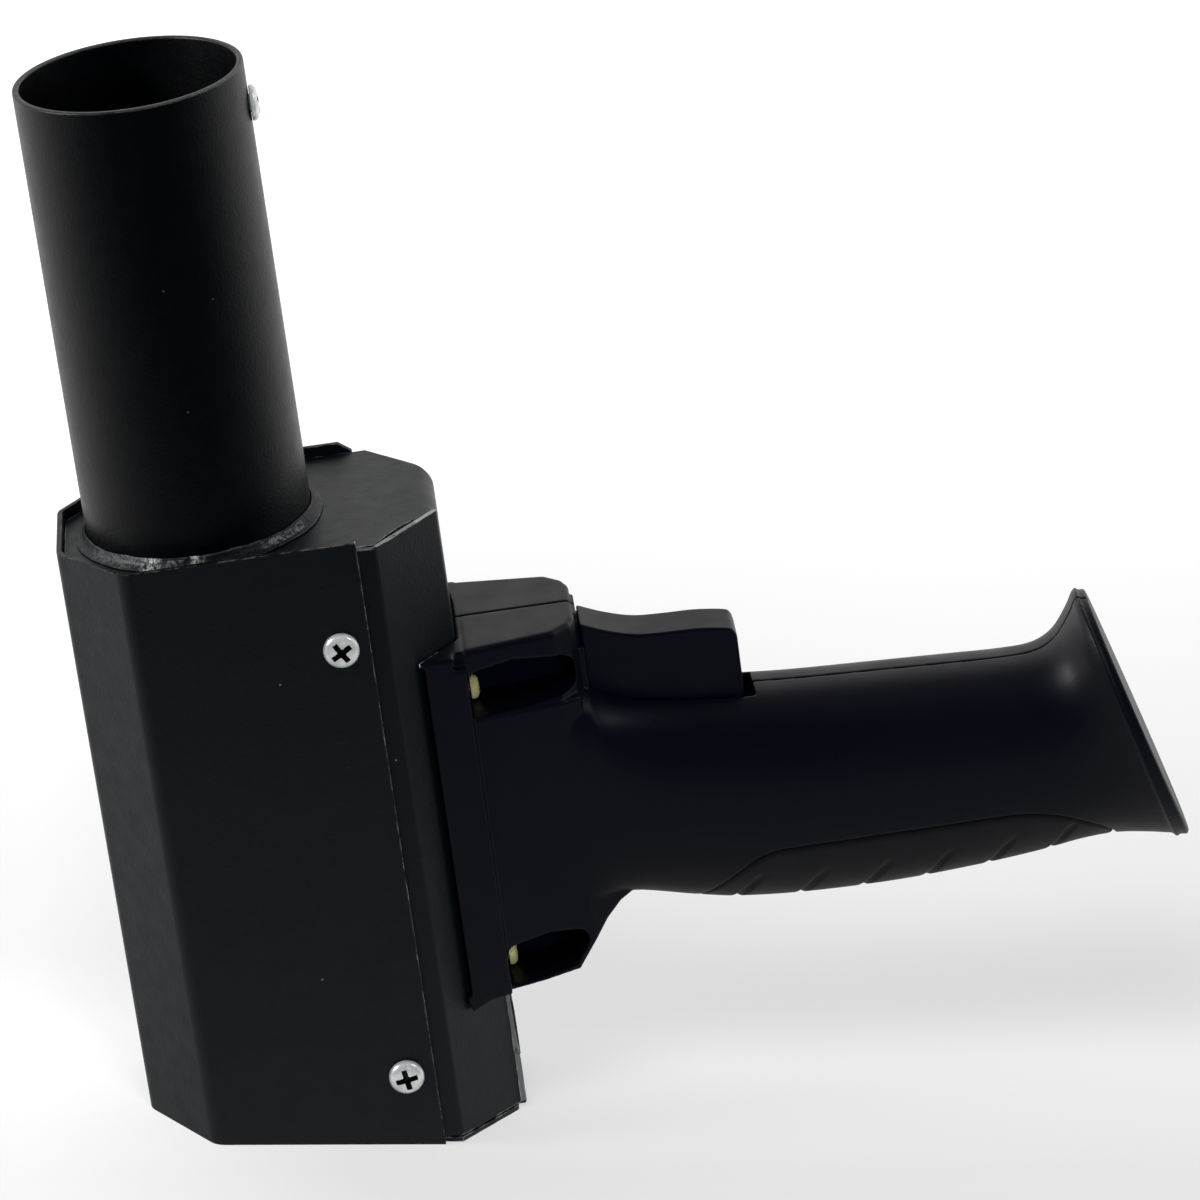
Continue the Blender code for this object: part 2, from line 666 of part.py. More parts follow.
def make_breech():
    reach = BORE_RADIUS - FIT_GAP
    ring_top = TUBE_FOOT + RING_THICKNESS
    ring_profile = ((reach - RING_WIDTH, TUBE_FOOT), (reach, TUBE_FOOT), (reach, ring_top), (reach - RING_WIDTH, ring_top))
    turned("breech_ring", ring_profile, 48, steel, (TUBE_X, 0, 0))

    disc_low = ring_top + FIT_GAP
    disc_top = disc_low + DISC_THICKNESS
    disc = rod("breech_insulator", reach, DISC_THICKNESS, 48, laminate, (TUBE_X, 0, disc_low))
    stud_profile = ((0, -CONTACT_LENGTH), (CONTACT_SHANK_RADIUS, -CONTACT_LENGTH), (CONTACT_SHANK_RADIUS, 0),
                    (CONTACT_HEAD_RADIUS, 0), (CONTACT_HEAD_RADIUS, 0.0012), (CONTACT_HEAD_RADIUS * 0.7, 0.002),
                    (0, 0.0023))
    bore = CONTACT_SHANK_RADIUS + FIT_GAP
    nut_profile = ((bore, 0), (CONTACT_NUT_RADIUS, 0), (CONTACT_NUT_RADIUS, CONTACT_NUT_HEIGHT), (bore, CONTACT_NUT_HEIGHT))
    for name, side in (("left", -1), ("right", 1)):
        x = TUBE_X + side * CONTACT_SPREAD / 2
        cut(disc, rod(f"contact_hole_{name}", bore, 2 * DISC_THICKNESS, 12, location=(x, 0, disc_low - DISC_THICKNESS / 2)))
        turned(f"contact_stud_{name}", stud_profile, 12, brass, (x, 0, disc_top + FIT_GAP))
        turned(f"contact_nut_{name}", nut_profile, 6, brass, (x, 0, disc_low - FIT_GAP - CONTACT_NUT_HEIGHT))


# Handle

def grip_stations():
    # along the handle: x and z on top, x and z below, half the width, and how square the section is
    top = GRIP_AXIS_Z + GRIP_HEIGHT / 2
    low = GRIP_AXIS_Z - GRIP_HEIGHT / 2
    neck_x = WALL_X + NECK_TIP[0]
    neck_low = FLANGE_LOW + NECK_TIP[1]
    rows = [
        (POCKET_X - 0.001, HEAD_TOP - 0.004, POCKET_X - 0.001, FLANGE_LOW + 0.0040, GRIP_HALF + 0.0030, 8.0),
        (POCKET_X + 0.009, HEAD_TOP - 0.005, POCKET_X + 0.009, FLANGE_LOW + 0.0050, GRIP_HALF + 0.0010, 7.5),
        (neck_x + 0.0005, top + 0.0165, neck_x, neck_low + 0.0035, GRIP_HALF + 0.0001, 7.0),
        (neck_x + 0.0045, top + 0.0118, neck_x + 0.0045, neck_low + 0.0092, GRIP_HALF + 0.0001, 6.5),
        (HEAD_END_X - 0.0020, top + 0.0105, neck_x + 0.0080, low + 0.0072, GRIP_HALF + 0.0002, 5.6),
        (HEAD_END_X + 0.0008, top + 0.0096, neck_x + 0.0118, low + 0.0087, GRIP_HALF + 0.0002, 4.8),
        (HEAD_END_X + 0.0030, top + 0.0074, neck_x + 0.0160, low + 0.0082, GRIP_HALF + 0.0002, 4.2),
        (HEAD_END_X + 0.0075, top + 0.0056, neck_x + 0.0210, low + 0.0064, GRIP_HALF + 0.0001, 3.5),
        (HEAD_END_X + 0.0165, top + 0.0038, neck_x + 0.0290, low + 0.0037, GRIP_HALF, 3.0),
        (HEAD_END_X + 0.0285, top + 0.0025, neck_x + 0.0390, low + 0.0014, GRIP_HALF, 2.8),
    ]
    # past the trigger the grip's own length sets the spacing: share of the way on top and below
    end_x = WALL_X + GRIP_LENGTH
    span = end_x - SLOT_END_X
    shares = [
        (0.070, 0.0010, 0.070, -0.0001, 0.0, 2.7),
        (0.280, 0.0000, 0.280, -0.0004, 0.0, 2.7),
        (0.458, -0.0008, 0.468, 0.0005, 0.0, 2.7),
        (0.595, -0.0013, 0.626, 0.0018, 0.0001, 2.6),
        (0.679, -0.0009, 0.742, 0.0033, 0.0005, 2.5),
        (0.731, 0.0017, 0.826, 0.0036, 0.0015, 2.4),
        (0.768, 0.0065, 0.900, 0.0027, 0.0031, 2.35),
        (0.787, 0.0101, 0.962, 0.0016, 0.0049, 2.3),
    ]
    rows += [(SLOT_END_X + a * span, top + rise, SLOT_END_X + c * span, low + lift, GRIP_HALF + swell, square)
             for a, rise, c, lift, swell, square in shares]
    last = rows[-1]
    rows.append((last[0] + RIM_THICKNESS * 0.7, last[1] + 0.0003, end_x - 0.0012, last[3] - 0.0009, last[4] + 0.0003, 2.3))
    rows.append((last[0] + RIM_THICKNESS * 0.85, last[1] - 0.0013, end_x + 0.0004, last[3] + 0.0005, last[4] - 0.0009, 2.3))
    return rows


def between(rows, steps):
    # rows with others worked out between them, on a Catmull-Rom curve; the rim keeps its corner
    vectors = [Vector(row) for row in rows[:-2]]
    return [tuple(row) for row in smooth_rows(vectors, steps)] + rows[-2:]


def smooth_rows(rows, steps):
    ends = [2 * rows[0] - rows[1]] + rows + [2 * rows[-1] - rows[-2]]
    out = []
    for a, b, c, d in zip(ends, ends[1:], ends[2:], ends[3:]):
        for index in range(steps):
            t = index / steps
            out.append(0.5 * (2 * b + (c - a) * t + (2 * a - 5 * b + 4 * c - d) * t ** 2
                              + (3 * b - a - 3 * c + d) * t ** 3))
    out.append(rows[-1])
    return out


def grip_body(name, inset, steps, first=0, drop_last=False):
    # the lofted handle, or the same form drawn in by an inset; sections between first and the end
    rows = grip_stations()[first:]
    sections = smooth_rows([Vector(row) for row in rows[:-2]], steps) if drop_last else between(rows, steps)
    rings = []
    for top_x, top_z, low_x, low_z, half, square in sections:
        top, low = Vector((top_x, 0, top_z)), Vector((low_x, 0, low_z))
        middle, spine = (top + low) / 2, (top - low) / 2
        height, width = spine.length - inset, half - inset
        ring = []
        for index in range(SECTION_SIDES):
            angle = 2 * pi * (index + 0.5) / SECTION_SIDES
            across = abs(cos(angle)) ** (2 / square) * (1 if cos(angle) > 0 else -1)
            up = abs(sin(angle)) ** (2 / square) * (1 if sin(angle) > 0 else -1)
            ring.append(middle + spine.normalized() * height * up + Vector((0, width * across, 0)))
        rings.append(ring)
    bm = bmesh.new()
    skin_rings(bm, rings, False)
    return to_object(name, bm)


def mirrored_plan(half_plan):
    return [(x, -y) for x, y in half_plan] + [(x, y) for x, y in reversed(half_plan)]


def neck_plan():
    # seen from above, the neck narrows from the flange to the grip
    return mirrored_plan([(POCKET_X - FLANGE_WEB / 2, HEAD_HALF), (WALL_X + HEAD_SHOULDER, NECK_HALF),
                          (WALL_X + NECK_END[0], NECK_END_HALF)])


def handle_blocks():
    # the flange with its ears, the head above the grip, and the neck that carries the lower pockets
    ear_x = WALL_X - FLANGE_EAR
    web_x = POCKET_X - FLANGE_WEB / 2
    flange = upright("flange_block", ((ear_x, -FLANGE_HALF), (POCKET_X, -FLANGE_HALF),
                                      (POCKET_X, FLANGE_HALF), (ear_x, FLANGE_HALF)), FLANGE_LOW, HEAD_TOP)
    chamfer_x, chamfer_half = HEAD_END_CHAMFER
    plan = mirrored_plan([(web_x, HEAD_HALF), (WALL_X + HEAD_SHOULDER, HEAD_SHOULDER_HALF),
                          (HEAD_END_X - chamfer_x, HEAD_END_HALF), (HEAD_END_X, HEAD_END_HALF - chamfer_half)])
    head = upright("head_block", plan, UPPER_POCKET_Z - 0.004, HEAD_TOP)

    underside = [(WALL_X + x, FLANGE_LOW + z) for x, z in (NECK_TIP, NECK_BEND, NECK_SWEEP, NECK_END)]
    side_view = [(web_x, UPPER_POCKET_Z), (web_x, FLANGE_LOW + 0.0003), (WALL_X + NECK_TIP[0] / 2, FLANGE_LOW + 0.0009)]
    side_view += underside + [(WALL_X + NECK_END[0], GRIP_AXIS_Z), (HEAD_END_X - 0.0008, GRIP_AXIS_Z + 0.012),
                              (HEAD_END_X - 0.0008, UPPER_POCKET_Z)]
    neck = upright("neck_block", neck_plan(), FLANGE_LOW - 0.005, HEAD_TOP)
    combine(neck, sideways("neck_side_view", side_view, -FLANGE_HALF, FLANGE_HALF), 'INTERSECT')
    for piece, size in ((flange, FLANGE_BEVEL), (head, HEAD_BEVEL), (neck, NECK_BEVEL)):
        rounding = piece.modifiers.new("rounding", 'BEVEL')
        rounding.width = size
        rounding.segments = 2
        rounding.limit_method = 'ANGLE'
        rounding.angle_limit = radians(50)
    return flange, head, neck


def box_clearance():
    # the room that the handle leaves round the chassis
    wall, chamfer_end = chassis_corners()[2:]
    reach = 0.03
    outline = inset_corners(((chamfer_end[0], -chamfer_end[1]), (wall[0], -wall[1]), wall, chamfer_end,
                             (-reach, chamfer_end[1]), (-reach, -chamfer_end[1])), -FIT_GAP)
    return upright("box_clearance", outline, -reach, COVER_TOP + reach)


def pocket(name, side, corners):
    # let in from the side, round the head of a flange screw
    inner = side * (FLANGE_HALF - POCKET_DEPTH)
    outer = side * (FLANGE_HALF + 0.01)
    outline = fillet(corners[:3], POCKET_CORNER, 2)[:-1]
    outline += fillet(corners[1:], POCKET_ROUND, 3)[1:]
    return sideways(name, outline, min(inner, outer), max(inner, outer))


def upper_pocket():
    low, roof = UPPER_POCKET_Z, UPPER_POCKET_Z + POCKET_HEIGHT
    far_x = HEAD_END_X - POCKET_WALL
    return ((POCKET_X + 0.012, low + 0.0003), (POCKET_X, low), (POCKET_X, roof), (WALL_X + 0.012, roof + POCKET_RISE),
            (far_x - 0.003, roof - 0.0005), (far_x, roof - 0.003), (far_x, low + 0.0015), (POCKET_X + 0.012, low + 0.0003))


def lower_pocket():
    # its floor and far end follow the neck's outside
    low, roof = LOWER_POCKET_Z, LOWER_POCKET_Z + POCKET_HEIGHT - 0.0014
    tip_x, tip_z = WALL_X + NECK_TIP[0], FLANGE_LOW + NECK_TIP[1]
    bend_x, bend_z = WALL_X + NECK_BEND[0], FLANGE_LOW + NECK_BEND[1]
    return ((POCKET_X + 0.008, low + 0.0006), (POCKET_X, low), (POCKET_X, roof), (WALL_X + 0.012, roof + POCKET_RISE * 1.5),
            (bend_x - 2 * POCKET_WALL, bend_z - POCKET_WALL), (tip_x - POCKET_WALL / 2, tip_z + POCKET_WALL),
            (POCKET_X + 0.008, low + 0.0006))


def pad_outline(grow=0.0):
    # the pad's edge in the side view, with tapered ends that run out at the grip's underside
    start, end = WALL_X + PAD_START - grow, WALL_X + PAD_START + PAD_LENGTH + grow
    low = GRIP_AXIS_Z - GRIP_HEIGHT / 2
    line = low + PAD_HEIGHT + grow
    below = low - 0.02
    corners = ((start, below), (start, low + 0.004), (start + PAD_RUN_IN, line), (end - PAD_RUN_IN, line),
               (end, low + 0.006), (end, below))
    return fillet(corners, 0.006, 3)


def boss(name, x, z, side, inner_y, radius, outer_y=GRIP_HALF - SHELL_WALL / 2):
    # a post from inside the shell's wall towards the middle
    length = outer_y - inner_y
    return rod(name, radius, length, 16, location=(x, side * inner_y, z), axis="Y" if side > 0 else "-Y")


def make_shell(name, side):
    parting = FIT_GAP / 2
    tag = "front" if side < 0 else "back"
    flange, head, neck = handle_blocks()
    grip = grip_body(f"{tag}_grip_form", 0.0, 2)
    shell = flange
    shell.name = name
    shell.data.name = name
    shell.data.materials.append(plastic)
    shell.hide_render = False
    shell.display_type = 'TEXTURED'
    join(shell, head, neck, grip)

    # hollow it out, and keep one side of the parting plane
    cavity = grip_body(f"{tag}_cavity", SHELL_WALL, 1, first=6, drop_last=True)
    cut(shell, cavity)
    far = 0.3
    y_low, y_high = sorted((side * parting, side * far))
    combine(shell, block(f"{tag}_half", (0, y_low, 0), (far, y_high, far)), 'INTERSECT')

    # posts, ribs and seats inside
    wall_y = GRIP_HALF - SHELL_WALL / 2
    pivot_boss = boss(f"{tag}_pivot_boss", PIVOT.x, PIVOT.z, side, TRIGGER_HALF + SLOT_CLEARANCE,
                      PIVOT_RADIUS + FIT_GAP + BOSS_WALL, PIVOT_LENGTH / 2 + FIT_GAP)
    join(shell, pivot_boss)
    for index, (x, z) in enumerate(SCREW_POSTS[2:]):
        join(shell, boss(f"{tag}_post_{index}", x, z, side, parting, GRIP_SCREW[0] + 0.0012))
    switch_low = SWITCH_TOP - SWITCH_HEIGHT
    ribs = ((SWITCH_START_X + 0.001, 0.003, switch_low - 0.004, switch_low - FIT_GAP, parting),
            (SWITCH_START_X + SWITCH_LENGTH - 0.004, 0.003, switch_low - 0.004, switch_low - FIT_GAP, parting),
            (SWITCH_START_X + SWITCH_LENGTH / 2 - 0.002, 0.004, switch_low - 0.002, SWITCH_TOP - 0.002,
             SWITCH_HALF + FIT_GAP),
            (PIVOT.x + SPRING_X - 0.0035, 0.0062, spring_foot() - FIT_GAP - 0.003, spring_foot() - FIT_GAP, parting))
    for index, (x, width, low_z, high_z, inner_y) in enumerate(ribs):
        y_near, y_far = sorted((side * inner_y, side * wall_y))
        join(shell, block(f"{tag}_rib_{index}", (x, y_near, low_z), (x + width, y_far, high_z)))

    # openings
    cut(shell, box_clearance())
    for height_name, corners in (("upper", upper_pocket()), ("lower", lower_pocket())):
        cut(shell, pocket(f"{tag}_pocket_{height_name}", side, corners))
    slot_half = TRIGGER_HALF + SLOT_CLEARANCE
    slot_low = TRIGGER_FOOT - (TRIGGER_LENGTH - PIVOT_X) * sin(TRIGGER_TRAVEL) - FIT_GAP
    cut(shell, block(f"{tag}_slot", (HEAD_END_X + 0.0002, -slot_half, slot_low),
                     (SLOT_END_X, slot_half, HEAD_TOP + 0.01)))
    cut(shell, block(f"{tag}_channel", (POCKET_X - 0.004, -CHANNEL_HALF_WIDTH, WIRE_HOLE_Z - CHANNEL_HALF_HEIGHT),
                     (PIVOT.x + 0.002, CHANNEL_HALF_WIDTH, WIRE_HOLE_Z + CHANNEL_HALF_HEIGHT)))
    recess = sideways(f"{tag}_pad_recess", pad_outline(FIT_GAP), -0.05, 0.05)
    cut(recess, grip_body(f"{tag}_pad_bed", PAD_THICKNESS + FIT_GAP, 2))
    cut(shell, recess)

    # holes for the screws that hold the shells together, the pivot pin and the flange screws
    pin_end = PIVOT_LENGTH / 2 + FIT_GAP
    cut(shell, rod(f"{tag}_pivot_hole", PIVOT_RADIUS + FIT_GAP, 2 * pin_end, 12,
                   location=(PIVOT.x, -pin_end, PIVOT.z), axis="Y"))
    cut(shell, *flange_screw_holes(tag, POCKET_X - 2 * FLANGE_WEB, 4 * FLANGE_WEB))
    for index, (x, z) in enumerate(SCREW_POSTS):
        tip_y = grip_screw_seat() - GRIP_SCREW[3] - FIT_GAP
        cut(shell, clearance_hole(f"{tag}_grip_hole_{index}", GRIP_SCREW[2], (x, tip_y, z),
                                  grip_screw_seat() - tip_y, "Y"))
        if side > 0:
            cut(shell, rod(f"{tag}_counterbore_{index}", GRIP_SCREW[0] + 2 * FIT_GAP, 0.02, 16,
                           location=(x, grip_screw_seat(), z), axis="Y"))
    return shell


def grip_screw_seat():
    # where the heads of the grip screws bear, in the back shell
    return GRIP_HALF * 0.5


def make_handle():
    make_shell("grip_shell_front", -1)
    make_shell("grip_shell_back", 1)
    mesh = pan_head("grip_screw", GRIP_SCREW, 12, zinc, dome=2)
    for index, (x, z) in enumerate(SCREW_POSTS):
        place_screw(f"grip_screw_{index + 1}", mesh, (x, grip_screw_seat() + FIT_GAP, z), "Y")

    pad = sideways("palm_pad", pad_outline(), -0.05, 0.05, pad_rubber)
    combine(pad, grip_body("pad_outer_form", 0.0, 2), 'INTERSECT')
    cut(pad, grip_body("pad_inner_form", PAD_THICKNESS, 2))


def make_backing_plate():
    screws = [z for name, side, y, z, pocket_z in flange_screw_places()]
    inner_x = WALL_X - SHEET - FIT_GAP
    plate = block("backing_plate", (inner_x - BACKING_THICKNESS, -BACKING_HALF, min(screws) - BACKING_MARGIN),
                  (inner_x, BACKING_HALF, max(screws) + BACKING_MARGIN), zinc)
    hole_x = inner_x - 2 * BACKING_THICKNESS
    cut(plate, *flange_screw_holes("backing", hole_x, 4 * BACKING_THICKNESS))
    cut(plate, rod("backing_wire_hole", GROMMET_LIP + FIT_GAP, 4 * BACKING_THICKNESS, 20,
                   location=(hole_x, 0, WIRE_HOLE_Z), axis="X"))


# Trigger, spring and switch

def spring_foot():
    return TRIGGER_FOOT - FIT_GAP - SPRING_LENGTH


def make_trigger():
    x, end = TRIGGER_X, TRIGGER_X + TRIGGER_LENGTH
    lug = PIVOT_RADIUS + FIT_GAP + BOSS_WALL
    # the finger side falls from the front in two shallow steps, then the sides go down into the slot
    crown = smooth_route([Vector((x, TRIGGER_TOP)), Vector((x + 0.0060, TRIGGER_TOP - 0.0026)),
                          Vector((x + 0.0125, TRIGGER_TOP - 0.0045)), Vector((x + 0.0195, TRIGGER_TOP - 0.0050)),
                          Vector((x + 0.0265, TRIGGER_TOP - 0.0052)), Vector((end - 0.0022, TRIGGER_TOP - 0.0061)),
                          Vector((end - 0.0006, TRIGGER_TOP - 0.0070)), Vector((end, TRIGGER_TOP - 0.0088))], 0.003)
    nudge_x = LEVER_HINGE.x + NUDGE_X
    outline = [tuple(point) for point in crown]
    outline += [(end, TRIGGER_FOOT), (PIVOT.x + lug, TRIGGER_FOOT), (PIVOT.x + lug * 0.7, PIVOT.z - lug * 0.85),
                (PIVOT.x, PIVOT.z - lug), (PIVOT.x - lug * 0.7, PIVOT.z - lug * 0.85), (x, PIVOT.z)]
    trigger = sideways("trigger", outline, -TRIGGER_HALF, TRIGGER_HALF, trigger_plastic)
    rounding = trigger.modifiers.new("rounding", 'BEVEL')
    rounding.width = 0.0008
    rounding.segments = 2
    rounding.limit_method = 'ANGLE'
    rounding.angle_limit = radians(60)

    # hollow from below, apart from the lug at the pivot, with a rib that works the switch
    hollow_x = PIVOT.x + SPRING_X + SPRING_RADIUS + 2 * SPRING_WIRE + TRIGGER_WALL
    hollow_half = TRIGGER_HALF - TRIGGER_WALL
    cut(trigger, block("trigger_hollow", (hollow_x, -hollow_half, TRIGGER_FOOT - 0.01),
                       (end - TRIGGER_WALL, hollow_half, TRIGGER_TOP - 0.0063 - 2 * TRIGGER_WALL)))
    lever_rise = NUDGE_X * tan(LEVER_REST) + LEVER_SHEET / 2 + NUDGE_WIDTH * tan(LEVER_REST)
    join(trigger, block("trigger_rib", (nudge_x - NUDGE_WIDTH / 2, -hollow_half - 0.0005,
                                        LEVER_HINGE.z + lever_rise + FIT_GAP),
                        (nudge_x + NUDGE_WIDTH / 2, hollow_half + 0.0005, TRIGGER_TOP - 0.012)))
    cut(trigger, rod("trigger_bore", PIVOT_RADIUS + FIT_GAP, 4 * TRIGGER_HALF, 12,
                     location=(PIVOT.x, -2 * TRIGGER_HALF, PIVOT.z), axis="Y"))
    origin_at(trigger, PIVOT)
    rod("trigger_pivot", PIVOT_RADIUS, PIVOT_LENGTH, 12, steel, (PIVOT.x, -PIVOT_LENGTH / 2, PIVOT.z), "Y")


def make_spring():
    foot = spring_foot()
    height = SPRING_LENGTH - 2 * SPRING_WIRE / 2 - FIT_GAP
    points_per_turn = 8
    count = SPRING_TURNS * points_per_turn
    points = []
    for index in range(count + 1):
        angle = 2 * pi * index / points_per_turn
        points.append(Vector((PIVOT.x + SPRING_X + SPRING_RADIUS * cos(angle), SPRING_RADIUS * sin(angle),
                              foot + SPRING_WIRE / 2 + height * index / count)))
    pitch = height / SPRING_TURNS
    print(f"return spring: {SPRING_TURNS} turns, least gap between turns {1000 * (pitch - SPRING_WIRE):.2f} mm")
    tube_along("trigger_spring", points, SPRING_WIRE / 2, steel, 1)


def make_switch():
    low = SWITCH_TOP - SWITCH_HEIGHT
    body = block("switch_body", (SWITCH_START_X, -SWITCH_HALF, low),
                 (SWITCH_START_X + SWITCH_LENGTH, SWITCH_HALF, SWITCH_TOP), switch_plastic)
    button_x = LEVER_HINGE.x + BUTTON_X
    well = BUTTON_HALF + FIT_GAP
    cut(body, block("button_well", (button_x - well, -BUTTON_DEPTH / 2 - FIT_GAP, SWITCH_TOP - 0.004),
                    (button_x + well, BUTTON_DEPTH / 2 + FIT_GAP, SWITCH_TOP + 0.002)))

    # the button stops just below the lever
    lever_under = LEVER_HINGE.z + (BUTTON_X - BUTTON_HALF) * tan(LEVER_REST) - LEVER_SHEET
    block("switch_button", (button_x - BUTTON_HALF, -BUTTON_DEPTH / 2, SWITCH_TOP - 0.0022),
          (button_x + BUTTON_HALF, BUTTON_DEPTH / 2, lever_under - FIT_GAP), button_plastic)

    # a strip with a knuckle at its hinge, set at its rest angle
    half_sheet = LEVER_SHEET / 2
    knuckle = [(LEVER_KNUCKLE * cos(angle), LEVER_KNUCKLE * sin(angle))
               for angle in (radians(60 + 60 * step) for step in range(5))]
    outline = [(LEVER_LENGTH, -half_sheet), (LEVER_LENGTH, half_sheet), (LEVER_KNUCKLE, half_sheet)]
    outline += knuckle + [(LEVER_KNUCKLE, -half_sheet)]
    lever = sideways("switch_lever", outline, -LEVER_HALF, LEVER_HALF, steel)
    lever.location = LEVER_HINGE
    lever.rotation_euler = (0, -LEVER_REST, 0)


# Wiring and battery

def make_wiring():
    inner_x = WALL_X - SHEET - FIT_GAP
    terminal_x = inner_x - TERMINAL_DEPTH
    terminal = block("terminal_block", (terminal_x, -TERMINAL_HALF, TERMINAL_Z),
                     (inner_x, TERMINAL_HALF, TERMINAL_Z + TERMINAL_HEIGHT), terminal_plastic)
    ports = (-TERMINAL_HALF * 0.62, 0.0, TERMINAL_HALF * 0.62)
    for index, y in enumerate(ports):
        cut(terminal, rod(f"terminal_port_{index}", LEAD_RADIUS + FIT_GAP, 0.006, 12,
                          location=(terminal_x + TERMINAL_DEPTH / 2, y, TERMINAL_Z - 0.003)))

    lip = GROMMET_LIP_THICKNESS
    neck = SHEET + 2 * FIT_GAP
    profile = ((GROMMET_BORE, -lip), (GROMMET_LIP, -lip), (GROMMET_LIP, 0), (GROMMET_NECK, 0),
               (GROMMET_NECK, neck), (GROMMET_BORE, neck))
    turned("wire_grommet", profile, 20, grommet_rubber, (WALL_X - SHEET - FIT_GAP, 0, WIRE_HOLE_Z), "X")

    # each lead runs from its own port: to the switch, to the breech contacts and to the battery
    port_x, port_z = terminal_x + TERMINAL_DEPTH / 2, TERMINAL_Z + 0.0025
    switch_low = SWITCH_TOP - SWITCH_HEIGHT
    inside_x = WALL_X - SHEET - BACKING_THICKNESS - 0.008
    lead("switch_lead", ((port_x, ports[1], port_z), (port_x, ports[1], port_z - 0.014),
                         (inside_x, 0, WIRE_HOLE_Z + 0.018), (inside_x + 0.001, 0, WIRE_HOLE_Z + 0.006),
                         (WALL_X - 0.003, 0, WIRE_HOLE_Z), (WALL_X + 0.006, 0, WIRE_HOLE_Z),
                         (HEAD_END_X - 0.006, 0, WIRE_HOLE_Z), (PIVOT.x - 0.001, 0, WIRE_HOLE_Z - 0.001),
                         (PIVOT.x + 0.006, 0, switch_low - 0.003), (SWITCH_START_X + 0.0025, 0, switch_low - 0.010),
                         (SWITCH_START_X + SWITCH_LENGTH / 2, 0, switch_low - 0.008),
                         (SWITCH_START_X + SWITCH_LENGTH / 2, 0, switch_low - FIT_GAP)))
    stud_x = TUBE_X + CONTACT_SPREAD / 2
    stud_end = TUBE_FOOT + RING_THICKNESS + FIT_GAP + DISC_THICKNESS + FIT_GAP - CONTACT_LENGTH
    lead("breech_lead", ((port_x, ports[0], port_z), (port_x, ports[0], port_z - 0.014),
                         (port_x - 0.004, ports[0], TUBE_FOOT), (port_x - 0.014, ports[0] + 0.002, TUBE_FOOT - 0.016),
                         (stud_x + 0.001, 0, stud_end - 0.008), (stud_x, 0, stud_end - 0.004),
                         (stud_x, 0, stud_end - FIT_GAP)))
    return port_x, ports[2], port_z


def lead(name, corners, parent=launcher_frame):
    route = smooth_route([Vector(corner) for corner in corners], LEAD_STEP)
    return tube_along(name, route, LEAD_RADIUS, lead_jacket, 2, parent)


def to_base(x, y, z):
    # a place on the leaning launcher, as the level base sees it
    return (x * cos(LEAN) - z * sin(LEAN), y, x * sin(LEAN) + z * cos(LEAN))


def make_battery(port):
    # upright on the bottom plate, so placed in the level frame
    low = SHEET + FIT_GAP + CLIP_SHEET + FIT_GAP
    half = BATTERY_WIDTH / 2
    battery = block("battery", (BATTERY_X - half, -BATTERY_DEPTH / 2, low),
                    (BATTERY_X + half, BATTERY_DEPTH / 2, low + BATTERY_HEIGHT), battery_jacket, base_frame)
    top = low + BATTERY_HEIGHT
    stud_radius, stud_height = BATTERY_STUD
    snap = block("battery_snap", (BATTERY_X - half, -BATTERY_DEPTH / 2 + 0.002, top + FIT_GAP),
                 (BATTERY_X + half, BATTERY_DEPTH / 2 - 0.002, top + FIT_GAP + SNAP_HEIGHT), lead_jacket, base_frame)
    for name, side in (("left", -1), ("right", 1)):
        x = BATTERY_X + side * BATTERY_STUD_SPREAD / 2
        join(battery, rod(f"battery_stud_{name}", stud_radius, stud_height + 0.001, 12,
                          location=(x, 0, top - 0.001), parent=base_frame))
        cut(snap, rod(f"snap_socket_{name}", stud_radius + FIT_GAP, stud_height + FIT_GAP + 0.001, 12,
                      location=(x, 0, top - 0.001 + FIT_GAP), parent=base_frame))

    # a spring clip: a strip under the battery with an arm up each side
    inner, outer = half + FIT_GAP, half + FIT_GAP + CLIP_SHEET
    floor = SHEET + FIT_GAP
    arm = floor + CLIP_SHEET + CLIP_HEIGHT
    outline = ((-outer, floor), (outer, floor), (outer, arm), (inner, arm), (inner, floor + CLIP_SHEET),
               (-inner, floor + CLIP_SHEET), (-inner, arm), (-outer, arm))
    sideways("battery_clip", [(BATTERY_X + x, z) for x, z in outline], -BATTERY_DEPTH * 0.32, BATTERY_DEPTH * 0.32,
             steel, base_frame)

    snap_end = (BATTERY_X + half + FIT_GAP, 0.0, top + FIT_GAP + SNAP_HEIGHT / 2)
    port_x, port_y, port_z = port
    lead("battery_lead", (snap_end, (snap_end[0] + 0.005, 0, snap_end[2]),
                          to_base(port_x - 0.002, port_y, TUBE_FOOT - 0.012), to_base(port_x, port_y, port_z - 0.014),
                          to_base(port_x, port_y, port_z)), base_frame)


make_chassis()
make_cover()
make_tube()
make_retainer()
make_breech()
make_box_screws()
make_backing_plate()
make_handle()
make_trigger()
make_spring()
make_switch()
terminal_port = make_wiring()
make_battery(terminal_port)
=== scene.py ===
# Looks for the cold spark launcher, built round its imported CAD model
from math import atan2, cos, pi, radians, sin, tan
from random import Random

import bmesh
import bpy
from mathutils import Matrix, Vector


